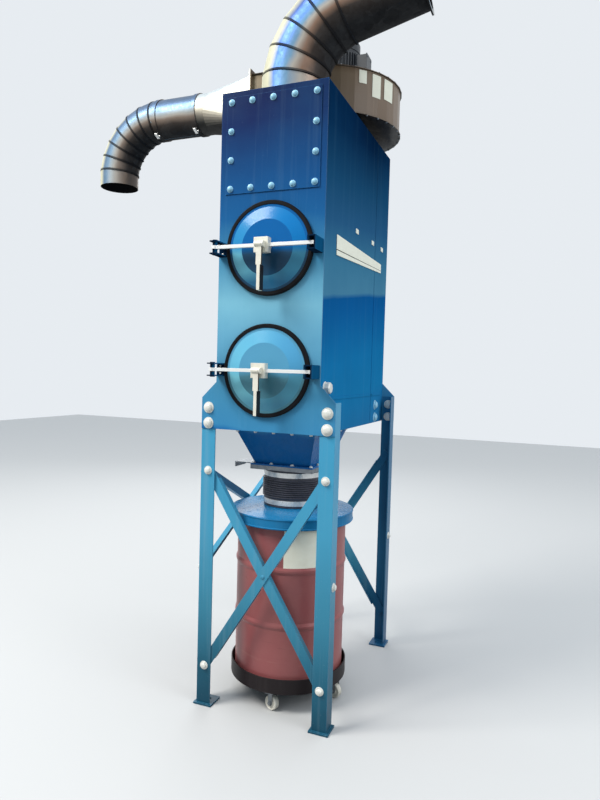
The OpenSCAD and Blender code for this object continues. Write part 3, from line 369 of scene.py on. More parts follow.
# The fan's faces turned to +X get paler painted light.
fan_enamel = enamel("fan_enamel", (0.200, 0.155, 0.105), (0.300, 0.245, 0.170), (0.50, 0.45, 0.36), 0.30, 0.8,
                    fan_heights, wobble=0, shine=0.12, coat=0.08, right_face_light=(0.25, 0.175, 0.135))

# %% [markdown]
# The two round covers are pressed from one sheet each. Their colour is painted light and shade: above its bar a
# cover gets a painted reflection of what is overhead and looks vivid, below the bar a painted shadow makes it
# dark, and a band of painted shade runs near its foot. The lower one is paler, and both get painted light
# towards the left.

# %% Cover enamel and the other dark paints


def cover_skin(centre_z, spacing):
    """centre_z is the height of the lower cover's middle, and spacing is how far above it the upper one is."""
    skin = Finish("cover_enamel", coat_weight=0.08, coat_roughness=0.12, specular_ior_level=0.12,
                  roughness=0.22)
    spot, facing = skin.split(skin.place), skin.split(skin.facing)
    lower = 1 - skin.ramp(spot["Z"], centre_z + spacing / 2 - 0.01, centre_z + spacing / 2)
    rise = spot["Z"] - (centre_z + spacing) + lower * spacing + (skin.noise(9, 3, 0.5) - 0.5) * 0.03
    # Painted reflection above the bar, painted shadow below it.
    painted_reflection_half = skin.ramp(rise, -0.030, 0.012)
    disc = skin.mix(painted_reflection_half, (0.012, 0.050, 0.100), (0.003, 0.112, 0.350))
    # Painted light on the faces turned to the left.
    left_light = skin.ramp(facing["X"], 0.18, -0.30)
    foot = skin.mix(left_light, (0.045, 0.210, 0.330), (0.120, 0.370, 0.480))
    # A band of painted shade near the foot of the cone.
    foot = skin.mix(skin.ramp(rise, -0.110, -0.160), foot, (0.022, 0.130, 0.250))
    crown = skin.mix((left_light * 0.5).clamped(), (0.004, 0.170, 0.460), (0.040, 0.290, 0.500))
    cone = skin.mix(painted_reflection_half, foot, crown)
    body = skin.mix(skin.ramp(facing["Y"], -0.995, -0.975), disc, cone)
    # The lower cover is paler, with more painted light on its left faces and its upper half.
    paling_and_light = (lower * (0.16 + left_light * 0.16 + painted_reflection_half * 0.16)).clamped()
    skin.paint(skin.mix(paling_and_light, body, (0.24, 0.66, 0.74)))
    orange_peel(skin)
    return skin.material


def middle(node):
    """The middle of a node's box."""
    low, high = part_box(node)
    return (low + high) / 2


lower_z = middle("lower_cover").z
cover_enamel = cover_skin(lower_z, middle("upper_cover").z - lower_z)
gray_enamel = enamel("gray_enamel", (0.012, 0.015, 0.020), (0.030, 0.036, 0.044), (0.16, 0.18, 0.20), 0.42,
                     1.2)
black_enamel = enamel("black_enamel", (0.012, 0.008, 0.009), (0.022, 0.017, 0.018), (0.10, 0.09, 0.085), 0.42,
                      1.0, shine=0.15, coat=0.0)

# %% [markdown]
# Hot-dip galvanised sheet is covered in spangle: frost-like grains a few centimetres across, each with its
# own shade and gloss. Voronoi cells of two sizes give the grains, and a fine noise breaks their flat look.
# Round a duct the colour is painted light and shade by the way each face turns: a painted reflection of the sky
# on its top, a warm painted highlight on the side towards the lamp, and painted shade in brown and black
# underneath. An elbow gets painted shade inside, and a dark line of sealant at each bend seam.

# %% Galvanised sheet


def zinc_sheet(name, light, dark, grain, rough, metal, underside_shade=None, facings=None, bend=None):
    """The colour given for undersides, when there is one, is painted shade: brown on undersides and on faces
    turned to +X, going to black further under, with a painted reflection of the sky on the faces turned up and
    forwards. facings are (turn from the sky, colour) pairs of painted reflection and painted shade, and a warm
    painted highlight goes on the side towards the lamp. bend says where an elbow's turn has its centre, its
    radius, the side it starts on, its angle and its number of seams; inside the turn the wall gets painted
    shade."""
    skin = Finish(name, specular_ior_level=0.05 if facings else 0.5)
    wobble = skin.node("ShaderNodeTexNoise", {}, {"Vector": skin.place, "Scale": 14.0, "Detail": 2.0})
    place = skin.mix(0.035, skin.place, wobble["Color"], "VECTOR")
    cells = skin.node("ShaderNodeTexVoronoi", {}, {"Vector": place, "Scale": grain})["Color"]
    small = skin.node("ShaderNodeTexVoronoi", {}, {"Vector": place, "Scale": grain * 2.7})["Color"]
    shade = skin.node("ShaderNodeSeparateColor", {}, {"Color": cells})["Red"]
    fleck = skin.node("ShaderNodeSeparateColor", {}, {"Color": small})["Green"]
    tone = (shade * 0.65 + fleck * 0.35).clamped()
    stain = skin.ramp(skin.noise(3.0, 4, 0.6), 0.50, 0.74)
    body = skin.mix((stain * 0.3).clamped(), skin.mix(tone, dark, light), (0.30, 0.28, 0.24))
    metallic, roughness = metal, rough + fleck * 0.10 + stain * 0.12 - shade * 0.05
    # Painted shade, brown then black, on undersides and faces turned to +X, and a painted reflection of the sky
    # on faces turned up and forwards.
    if underside_shade:
        face = skin.split(skin.facing)
        turned = face["X"] * 0.35 - face["Z"] + skin.noise(4.0, 4, 0.6) * 0.35 - 0.18
        brown = skin.ramp(turned, -0.15, 0.35)
        black = skin.ramp(turned, 0.30, 0.75)
        painted_sky = skin.ramp(face["Z"] * 0.6 - face["Y"] * 0.7 - face["X"] * 0.2, 0.62, 0.85)
        body = skin.mix((painted_sky * 0.55).clamped(), body, (0.17, 0.30, 0.46))
        body = skin.mix((brown * 0.7).clamped(), body, underside_shade)
        body = skin.mix((black * 0.95).clamped(), body, (0.012, 0.011, 0.010))
        metallic = (metal - black * metal).clamped()
        roughness = roughness + brown * 0.08 + black * 0.35
    # Painted reflection and painted shade by how each face turns, with a warm painted highlight on the side
    # towards the lamp.
    if facings:
        face = skin.split(skin.facing)
        away = face["X"] * 0.36 - face["Z"] * 0.8 + (skin.noise(5.0, 3, 0.5) - 0.5) * 0.20
        lamp_side = skin.ramp(face["X"], -0.28, -0.50) * (1 - skin.ramp(face["Z"], 0.6, 0.9))
        tint = skin.mix(lamp_side, skin.banded(away, facings), (0.66, 0.64, 0.46))
        body = skin.mix((0.97 - tone * 0.06).clamped(), body, tint)
        metallic = (metal - skin.ramp(away, 0.35, 0.6) * metal).clamped()
        roughness = roughness + skin.ramp(away, 0.3, 0.7) * 0.3
    if bend:
        spot, face = skin.split(skin.place), skin.split(skin.facing)
        centre_x, centre_y, centre_z = bend["centre"]
        from_x, from_z = spot["X"] - centre_x, spot["Z"] - centre_z
        sides = (from_z, centre_x - spot["X"])
        first, second = sides if bend["start"] == "left" else sides[::-1]
        angle = first.maths("ARCTAN2", first, second)
        radius = from_x.maths("SQRT", from_x * from_x + from_z * from_z)
        beyond = 1 - bend["radius"] / radius
        from_y = spot["Y"] - centre_y
        outward = face["X"] * from_x * beyond + face["Y"] * from_y + face["Z"] * from_z * beyond
        # Painted shade on the inside of the elbow.
        inner_shade = skin.ramp(outward, 0.005, -0.03)
        body = skin.mix(inner_shade, body, (0.012, 0.012, 0.013))
        metallic = (metallic - inner_shade).clamped()
        step = bend["turn"] / bend["seams"]
        apart = angle.maths("ABSOLUTE", angle.maths("FRACT", angle * (1 / step)) - 0.5)
        inside = skin.ramp(angle, -0.01, 0.0) - skin.ramp(angle, bend["turn"], bend["turn"] + 0.01)
        sealed = (inside - skin.ramp(apart * radius * step, 0.0050, 0.0075)).clamped()
        body = skin.mix((sealed * 0.8).clamped(), body, (0.016, 0.016, 0.018))
        metallic = (metallic - sealed).clamped()
        roughness = roughness + sealed * 0.3
    skin.paint(body)
    skin.gloss(roughness.clamped())
    feed(skin.tree, skin.shader.inputs["Metallic"], metallic)
    skin.bump(tone + skin.noise(60, 2, 0.5) * 0.6, 0.0004, 0.12, corner=0.0015)
    return skin.material


# Tints by how far a face turns from the sky: painted reflection on top, a pale painted highlight, then painted
# shade in brown and black underneath.
inlet_painted_light = [(-0.85, (0.105, 0.125, 0.170)), (-0.60, (0.060, 0.100, 0.200)), (-0.35, (0.032, 0.075, 0.240)),
                 (-0.05, (0.050, 0.130, 0.350)), (0.08, (0.140, 0.280, 0.420)), (0.18, (0.480, 0.440, 0.380)),
                 (0.30, (0.300, 0.180, 0.120)), (0.46, (0.050, 0.036, 0.028)), (0.75, (0.005, 0.005, 0.006))]
pipe_painted_light = [(-0.85, (0.105, 0.125, 0.170)), (-0.60, (0.070, 0.110, 0.180)), (-0.35, (0.075, 0.135, 0.240)),
                (-0.05, (0.130, 0.215, 0.310)), (0.08, (0.280, 0.320, 0.340)), (0.18, (0.380, 0.350, 0.310)),
                (0.28, (0.240, 0.180, 0.140)), (0.46, (0.050, 0.036, 0.028)), (0.75, (0.005, 0.005, 0.006))]
inlet_bend = {"centre": (0.394, -0.335, 3.120), "radius": 0.394, "start": "left", "turn": math.radians(76),
              "seams": 5}
exhaust_bend = {"centre": (-0.991, -0.024, 2.895), "radius": 0.325, "start": "top", "turn": math.radians(90),
                "seams": 7}
duct_look = ((0.40, 0.41, 0.42), (0.31, 0.32, 0.34), 26.0, 0.36, 0.5)
duct_zinc = zinc_sheet("duct_zinc", *duct_look, facings=pipe_painted_light)
inlet_zinc = zinc_sheet("inlet_zinc", *duct_look, facings=inlet_painted_light, bend=inlet_bend)
exhaust_zinc = zinc_sheet("exhaust_zinc", *duct_look, facings=pipe_painted_light, bend=exhaust_bend)
# The transition's warm pale colour is painted sunlight, and its undersides get painted shade.
sunlit_zinc = zinc_sheet("sunlit_zinc", (0.86, 0.80, 0.64), (0.72, 0.68, 0.56), 26.0, 0.42, 0.5,
                         underside_shade=(0.13, 0.10, 0.08))
dull_zinc = zinc_sheet("dull_zinc", (0.24, 0.26, 0.28), (0.16, 0.18, 0.20), 60.0, 0.42, 0.7)
bright_zinc = zinc_sheet("bright_zinc", (0.80, 0.80, 0.78), (0.68, 0.68, 0.66), 120.0, 0.30, 0.6)

# %% [markdown]
# The clamps and levers are pale castings, almost white where light falls on them. Cast metal is never smooth:
# it has a fine sandy grain, darker in its hollows and paler at its rubbed corners. The levers get painted
# shade, nearly black, on the side turned to +X. Rubber, nylon, filter paper and the blank plates are made by
# the same function.

# %% Castings, rubber and plastic


def plain_skin(name, colour, shade, rough, grain, relief, metal=0.0, corner=0.0015, blotch=0.5, shine=0.5,
               shaded=None):
    """grain is the scale of the surface's noise and relief its depth in metres. shaded is the painted shade on
    the faces turned to +X."""
    skin = Finish(name, metallic=metal, specular_ior_level=shine)
    mottle = skin.ramp(skin.noise(24, 4, 0.6), 0.35, 0.7)
    fine = skin.noise(grain, 3, 0.6)
    worn = skin.rub(0.003)
    body = skin.mix((mottle * blotch + fine * 0.2).clamped(), colour, shade)
    body = skin.mix((worn * 0.3).clamped(), body, tuple(min(1, 1.25 * v + 0.02) for v in colour))
    if shaded:
        # Painted shade on the faces turned to +X.
        body = skin.mix(skin.ramp(skin.split(skin.facing)["X"], 0.45, 0.6), body, shaded)
    skin.paint(body)
    skin.gloss((rough + mottle * 0.12).clamped())
    skin.bump(fine, relief, 0.6, corner=corner)
    return skin.material


pale_casting = plain_skin("pale_casting", (0.80, 0.78, 0.68), (0.58, 0.55, 0.46), 0.38, 420, 0.0005,
                          metal=0.25)
bolt_white = plain_skin("bolt_white", (0.82, 0.81, 0.74), (0.62, 0.62, 0.58), 0.34, 300, 0.0003, metal=0.15)
black_rubber = plain_skin("black_rubber", (0.004, 0.004, 0.005), (0.012, 0.012, 0.013), 0.50, 260, 0.0004,
                          shine=0.08)
hose_rubber = plain_skin("hose_rubber", (0.052, 0.053, 0.068), (0.110, 0.106, 0.124), 0.36, 160, 0.0005,
                         shine=0.3)
bar_steel = plain_skin("bar_steel", (0.84, 0.84, 0.82), (0.72, 0.72, 0.70), 0.34, 300, 0.0002, metal=0.3,
                       blotch=0.3)
bolt_blue = plain_skin("bolt_blue", (0.30, 0.58, 0.74), (0.20, 0.44, 0.60), 0.34, 300, 0.0003, metal=0.1)
wheel_nylon = plain_skin("wheel_nylon", (0.76, 0.73, 0.64), (0.50, 0.46, 0.38), 0.45, 200, 0.0004)
filter_paper = plain_skin("filter_paper", (0.72, 0.70, 0.62), (0.52, 0.49, 0.42), 0.9, 300, 0.0006, corner=0)
bare_plate = plain_skin("bare_plate", (0.93, 0.92, 0.76), (0.82, 0.80, 0.66), 0.32, 90, 0.0002, blotch=0.35)
bare_label = plain_skin("bare_label", (0.97, 0.95, 0.80), (0.88, 0.84, 0.68), 0.62, 120, 0.0003, corner=0,
                        blotch=0.6)
# The levers' faces turned to +X get painted shade, nearly black.
lever_casting = plain_skin("lever_casting", (0.84, 0.81, 0.70), (0.62, 0.58, 0.48), 0.40, 420, 0.0005,
                           metal=0.1, shaded=(0.010, 0.009, 0.010))

# %% [markdown]
# The drum's red has chalked in the sun. Scratches from handling show a darker primer, and rust has started
# where the hoops rub. The marks are stretched around the drum, because it is rolled and turned when it is
# moved.

# %% Drum paint


def drum_skin():
    """Scuffs and scratches are noise squeezed in height, so that they run round the drum."""
    skin = Finish("drum_red", metallic=0.0, coat_roughness=0.2, ior=1.5, specular_ior_level=0.3)
    clouds = skin.ramp(skin.noise(3.0, 5, 0.6), 0.34, 0.70)
    scuffs = skin.ramp(skin.noise(1.0, 6, 0.65, skin.scaled(5, 5, 60)), 0.60, 0.72)
    scratch = skin.ramp(skin.noise(1.0, 3, 0.5, skin.scaled(9, 9, 340)), 0.68, 0.74)
    rust = skin.ramp(skin.noise(7.5, 6, 0.7), 0.62, 0.72)
    worn = skin.rub(0.006)
    body = skin.mix(clouds, (0.290, 0.078, 0.080), (0.345, 0.112, 0.108))
    body = skin.mix((scuffs * 0.35).clamped(), body, (0.42, 0.20, 0.17))
    body = skin.mix((scratch * 0.5).clamped(), body, (0.10, 0.05, 0.045))
    skin.paint(skin.mix((rust * 0.55 + worn * 0.5).clamped(), body, (0.14, 0.055, 0.030)))
    skin.gloss((0.36 + clouds * 0.12 + scuffs * 0.15 + rust * 0.3).clamped())
    feed(skin.tree, skin.shader.inputs["Coat Weight"], (0.15 - rust * 0.1).clamped())
    skin.bump(skin.noise(110, 3, 0.6) + rust * 0.8, 0.0006, 0.5, corner=0.002)
    return skin.material


drum_red = drum_skin()

# %% [markdown]
# The floor is matt. It is dark as a source of light, so that little of it bounces up into the machine, and
# pale where the camera sees it.

# %% Floor paint
floor_lit, floor_seen = (0.26, 0.26, 0.25), (0.46, 0.46, 0.455)
floor_skin = Finish("pale_floor", roughness=0.85)
floor_rays = floor_skin.node("ShaderNodeLightPath")
shown = floor_rays["Is Camera Ray"] + floor_rays["Is Glossy Ray"] + floor_rays["Is Transmission Ray"]
floor_skin.paint(floor_skin.mix(shown.clamped(), floor_lit, floor_seen))
floor_mesh.materials.append(floor_skin.material)
print(len(bpy.data.materials), "materials so far")

# %% [markdown]
# Every CAD node now gets its finish. A node's mesh stays as it came, and only the material in its slot
# changes. A finish is looked up by the node's name, then by the last word of the name, then by its material
# slot.

# %% Finishes of the CAD nodes
by_slot = {
    "blue_paint": blue_enamel, "duct_zinc": duct_zinc, "bright_steel": bright_zinc, "dull_zinc": dull_zinc,
    "pale_casting": pale_casting, "tan_paint": tan_enamel, "gray_paint": gray_enamel, "red_paint": drum_red,
    "black_paint": black_enamel, "gasket_rubber": black_rubber, "hose_rubber": hose_rubber,
    "filter_media": filter_paper, "wheel_plastic": wheel_nylon,
}
by_kind = {"leg": leg_enamel, "brace": leg_enamel, "yoke": bar_steel, "lever": lever_casting}
by_name = {
    "right_side_sheet": side_enamel, "upper_cover": cover_enamel, "lower_cover": cover_enamel,
    "fan_housing": fan_enamel, "yoke_brackets": bracket_shade_enamel, "outlet_transition": sunlit_zinc,
    "inlet_elbow": inlet_zinc, "exhaust_elbow": exhaust_zinc,
}
for part in frame["record"]["subparts"]:
    name = part["node"]
    finish = by_name.get(name) or by_kind.get(name.split("_")[-1]) or by_slot[part["material_slot"]]
    mesh = nodes[name].data
    if mesh.materials:
        for slot in range(len(mesh.materials)):
            mesh.materials[slot] = finish
    else:
        mesh.materials.append(finish)
print("finishes set on", len(nodes), "nodes")

# %% [markdown]
# Bolts are all one idea: a head on a washer, repeated. One Geometry Nodes tree makes them from a cloud of
# points, each with the direction that its head faces. Its inputs are the sizes, so the same tree makes
# small hex heads on the hopper and broad domed heads on the legs.

# %% A tree that puts bolts on points


def bolt_tree():
    """Points go in, each with a facing, and bolts come out as one mesh in one finish."""
    tree = bpy.data.node_groups.new("bolts_on_points", "GeometryNodeTree")
    face = tree.interface
    face.new_socket("Points", in_out="INPUT", socket_type="NodeSocketGeometry")
    for label, value in (("Head Radius", 0.01), ("Head Height", 0.006), ("Washer Radius", 0.014),
                         ("Washer Height", 0.002), ("Dome", 0.0)):
        face.new_socket(label, in_out="INPUT", socket_type="NodeSocketFloat").default_value = value
    face.new_socket("Sides", in_out="INPUT", socket_type="NodeSocketInt").default_value = 6
    face.new_socket("Finish", in_out="INPUT", socket_type="NodeSocketMaterial")
    face.new_socket("Bolts", in_out="OUTPUT", socket_type="NodeSocketGeometry")
    add, link = tree.nodes.new, tree.links.new
    given, out = add("NodeGroupInput"), add("NodeGroupOutput")

    def give(socket, value):
        if isinstance(value, (int, float)):
            socket.default_value = value
        else:
            link(value, socket)

    def maths(operation, first, second):
        step = add("ShaderNodeMath")
        step.operation = operation
        give(step.inputs[0], first)
        give(step.inputs[1], second)
        return step.outputs[0]

    def lifted(mesh, height):
        at, move = add("ShaderNodeCombineXYZ"), add("GeometryNodeTransform")
        link(height, at.inputs["Z"])
        link(mesh, move.inputs["Geometry"])
        link(at.outputs[0], move.inputs["Translation"])
        return move.outputs[0]

    def disc(sides, low_radius, top_radius, height):
        cone = add("GeometryNodeMeshCone")
        cone.fill_type = "NGON"
        for key, value in (("Vertices", sides), ("Radius Bottom", low_radius), ("Radius Top", top_radius),
                           ("Depth", height)):
            give(cone.inputs[key], value)
        return cone.outputs["Mesh"]

    radius, height = given.outputs["Head Radius"], given.outputs["Head Height"]
    washer_height = given.outputs["Washer Height"]
    wide = given.outputs["Washer Radius"]
    washer = disc(28, wide, maths("MULTIPLY", wide, 0.95), washer_height)
    sides, shank_height = given.outputs["Sides"], maths("MULTIPLY", height, 0.8)
    shank = lifted(disc(sides, radius, radius, shank_height), washer_height)
    crown_base = maths("ADD", washer_height, shank_height)
    crown_disc = disc(sides, radius, maths("MULTIPLY", radius, 0.82), maths("MULTIPLY", height, 0.2))
    crown = lifted(crown_disc, crown_base)
    ball = add("GeometryNodeMeshUVSphere")
    ball.inputs["Segments"].default_value, ball.inputs["Rings"].default_value = 20, 8
    ball.inputs["Radius"].default_value = 1
    press, squash = add("ShaderNodeCombineXYZ"), add("GeometryNodeTransform")
    link(maths("MULTIPLY", radius, 0.9), press.inputs["X"])
    link(maths("MULTIPLY", radius, 0.9), press.inputs["Y"])
    link(maths("ADD", maths("MULTIPLY", given.outputs["Dome"], radius), 0.0002), press.inputs["Z"])
    link(ball.outputs["Mesh"], squash.inputs["Geometry"])
    link(press.outputs[0], squash.inputs["Scale"])
    dome = lifted(squash.outputs[0], crown_base)
    join = add("GeometryNodeJoinGeometry")
    for piece in (washer, shank, crown, dome):
        link(piece, join.inputs[0])
    facing = add("GeometryNodeInputNamedAttribute")
    facing.data_type = "FLOAT_VECTOR"
    facing.inputs["Name"].default_value = "facing"
    turn, spin = add("FunctionNodeAlignRotationToVector"), add("FunctionNodeRotateRotation")
    turn.axis = "Z"
    link(facing.outputs["Attribute"], turn.inputs["Vector"])
    any_turn = add("FunctionNodeRandomValue")
    any_turn.data_type = "FLOAT"
    most_turn, seed = 1.05, 7
    any_turn.inputs[3].default_value, any_turn.inputs["Seed"].default_value = most_turn, seed
    about, own = add("ShaderNodeCombineXYZ"), add("FunctionNodeEulerToRotation")
    link(any_turn.outputs[1], about.inputs["Z"])
    link(about.outputs[0], own.inputs[0])
    spin.rotation_space = "LOCAL"
    link(turn.outputs[0], spin.inputs["Rotation"])
    link(own.outputs[0], spin.inputs["Rotate By"])
    place = add("GeometryNodeInstanceOnPoints")
    real, finish = add("GeometryNodeRealizeInstances"), add("GeometryNodeSetMaterial")
    link(given.outputs["Points"], place.inputs["Points"])
    link(join.outputs[0], place.inputs["Instance"])
    link(spin.outputs[0], place.inputs["Rotation"])
    link(place.outputs[0], real.inputs[0])
    link(real.outputs[0], finish.inputs["Geometry"])
    link(given.outputs["Finish"], finish.inputs["Material"])
    link(finish.outputs[0], out.inputs[0])
    return tree


bolts_on_points = bolt_tree()


def grown(name, base, tree, inputs, body, slot):
    """Runs a tree on a base mesh and keeps the result as one plain mesh that rides on a body."""
    seed = bpy.data.objects.new(name + "_seed", base)
    scene.collection.objects.link(seed)
    grow = seed.modifiers.new("grow", "NODES")
    grow.node_group = tree
    for item in tree.interface.items_tree:
        if item.item_type == "SOCKET" and item.in_out == "INPUT" and item.name in inputs:
            grow[item.identifier] = inputs[item.name]
    mesh = bpy.data.meshes.new_from_object(seed.evaluated_get(bpy.context.evaluated_depsgraph_get()))
    bpy.data.objects.remove(seed)
    while mesh.materials and mesh.materials[0] is None:
        mesh.materials.pop(index=0)
    mesh.polygons.foreach_set("material_index", [0] * len(mesh.polygons))
    piece = bpy.data.objects.new(name, mesh)
    scene.collection.objects.link(piece)
    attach(piece, body)
    return piece


def point_cloud(name, places, facings):
    """Loose points that carry the direction each bolt faces."""
    mesh = bpy.data.meshes.new(name)
    mesh.from_pydata([tuple(p) for p in places], [], [])
    facing = mesh.attributes.new("facing", "FLOAT_VECTOR", "POINT")
    facing.data.foreach_set("vector", [v for f in facings for v in f])
    return mesh


def bolts(name, places, facing, head, washer, finish, body="stand", slot="bright_steel", dome=0.0, sides=6):
    """Bolts at places. head and washer are (radius, height), and facing is one direction or one for each."""
    facings = facing if isinstance(facing, list) else [facing] * len(places)
    return grown(name, point_cloud(name, places, facings), bolts_on_points, {
        "Head Radius": head[0], "Head Height": head[1], "Washer Radius": washer[0],
        "Washer Height": washer[1], "Dome": dome, "Sides": sides, "Finish": finish}, body, slot)


print("bolt tree ready")

# %% [markdown]
# The blank panel above the covers and the panel on the back are held by a row of bolts along each edge.
# They are round-headed and painted pale blue, and they stand a little in from the edges. The back panel has
# none on its side edges at the height of the air header.

# %% Bolts of the panels
FRONT, BACK, RIGHT, LEFT, UP, DOWN = (0, -1, 0), (0, 1, 0), (1, 0, 0), (-1, 0, 0), (0, 0, 1), (0, 0, -1)
inset = 0.025
header_z, header_clear, header_from_x = 2.68, 0.03, 0.1
panel_bolt = {"head": (0.0125, 0.007), "washer": (0.0165, 0.0022), "finish": bolt_blue, "dome": 0.45,
              "sides": 20}


def edge_places(node, side, columns, rows):
    """Places along the four edges of a panel. side is 0 for its front face and 1 for its back face."""
    low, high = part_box(node)
    face_y = (low, high)[side].y
    xs = [low.x + inset + (high.x - low.x - 2 * inset) * i / (columns - 1) for i in range(columns)]
    zs = [low.z + inset + (high.z - low.z - 2 * inset) * i / (rows - 1) for i in range(rows)]
    return [(x, face_y, z) for x in xs for z in zs if x in (xs[0], xs[-1]) or z in (zs[0], zs[-1])]


bolts("inlet_panel_bolts", edge_places("inlet_panel", 0, 5, 4), FRONT, **panel_bolt)
places = [(x, y, z) for x, y, z in edge_places("back_panel", 1, 5, 10)
          if abs(z - header_z) >= header_clear or abs(x) <= header_from_x]
bolts("back_panel_bolts", places, BACK, **panel_bolt)
print(len(places), "bolts on the back panel")

# %% [markdown]
# The cabinet's ears are bolted to the legs with heavy bolts under broad washers, two at each corner. Each
# bolt ends in a nut inside the leg, and those of the back legs show from the front. The diagonal braces
# have one bolt at each end.

# %% Bolts of the legs and braces
leg_x, leg_y, ear_y, flange = 0.354, 0.571, 0.575, 0.006
ear_bolt_x, nut_x, ear_heights = 0.315, 0.318, (1.525, 1.448)
ear_places, ear_facings, nut_places, nut_facings = [], [], [], []
for sx in (-1, 1):
    for z in ear_heights:
        ear_places += [(sx * ear_bolt_x, -ear_y, z), (sx * ear_bolt_x, ear_y, z)]
        ear_facings += [FRONT, BACK]
        nut_places += [(sx * nut_x, -(leg_y - flange), z), (sx * nut_x, leg_y - flange, z)]
        nut_facings += [BACK, FRONT]
bolts("ear_bolts", ear_places, ear_facings, (0.021, 0.010), (0.029, 0.003), bolt_white, dome=0.35, sides=24)
bolts("ear_nuts", nut_places, nut_facings, (0.018, 0.012), (0.027, 0.003), bolt_white)

brace_x, brace_y = 0.314, 0.531
brace_top, brace_foot, side_brace_foot = 1.208, 0.206, 0.700
brace_places, brace_facings = [], []
for sx in (-1, 1):
    for z in (brace_top, brace_foot):
        brace_places += [(sx * brace_x, -leg_y, z), (sx * brace_x, leg_y, z)]
        brace_facings += [FRONT, BACK]
for z, near, far in ((brace_top, "left_rising_brace", "left_falling_brace"),
                     (side_brace_foot, "left_falling_brace", "left_rising_brace")):
    brace_places += [(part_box(near)[0].x, -brace_y, z), (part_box(far)[0].x, brace_y, z)]
    brace_facings += [LEFT, LEFT]
for sy in (-1, 1):
    brace_places.append((leg_x, sy * brace_y, side_brace_foot))
    brace_facings.append(RIGHT)
bolts("brace_bolts", brace_places, brace_facings, (0.015, 0.010), (0.022, 0.003), bolt_white, dome=0.3)
crossing_z, side_crossing_z = (brace_top + brace_foot) / 2, (brace_top + side_brace_foot) / 2
crossings = [(0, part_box("front_falling_brace")[0].y, crossing_z),
             (0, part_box("back_falling_brace")[1].y, crossing_z),
             (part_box("left_falling_brace")[0].x, 0, side_crossing_z)]
print(len(ear_places) + len(brace_places), "leg and brace bolts")

# %% [markdown]
# Small hex bolts join the hopper's rim to the cabinet and its mouth to the slide gate. Each corner of the
# gate has one, with another on either side of it.

# %% Bolts of the hopper and gate
hop_low, hop_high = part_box("hopper")
rim_in, rim_z = 0.012, hop_high.z - 0.008
rim_xs, rim_ys = (-0.20, -0.10, 0.0, 0.10, 0.20), (hop_low.y + rim_in, hop_high.y - rim_in)
places = [(x, y, rim_z) for x in rim_xs for y in rim_ys]
for i in range(1, 6):
    y = hop_low.y + (hop_high.y - hop_low.y) * i / 6
    places += [(hop_low.x + rim_in, y, rim_z), (hop_high.x - rim_in, y, rim_z)]
bolts("hopper_rim_bolts", places, DOWN, (0.009, 0.007), (0.0125, 0.002), bolt_white)
edge, inner = 0.161, 0.36
gate_y, gate_z = middle("gate_frame").y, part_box("gate_frame")[1].z + 0.008
corners = [(sx, sy) for sx in (-1, 1) for sy in (-1, 1)]
places = [(sx * edge, gate_y + sy * edge * t, gate_z) for sx, sy in corners for t in (1, inner)]
places += [(sx * edge * inner, gate_y + sy * edge, gate_z) for sx, sy in corners]
bolts("gate_bolts", places, UP, (0.008, 0.0065), (0.0115, 0.002), bolt_white)

# %% [markdown]
# The rest of the small parts are plates, bars, rings and curved labels. One class collects such solids in a
# single mesh, so a whole group is one piece. A lathe turns a closed outline round an axis, and a patch
# follows any surface that a function gives, with a thickness along its normal.

# %% A class for small solids
sharpest_smooth = 35


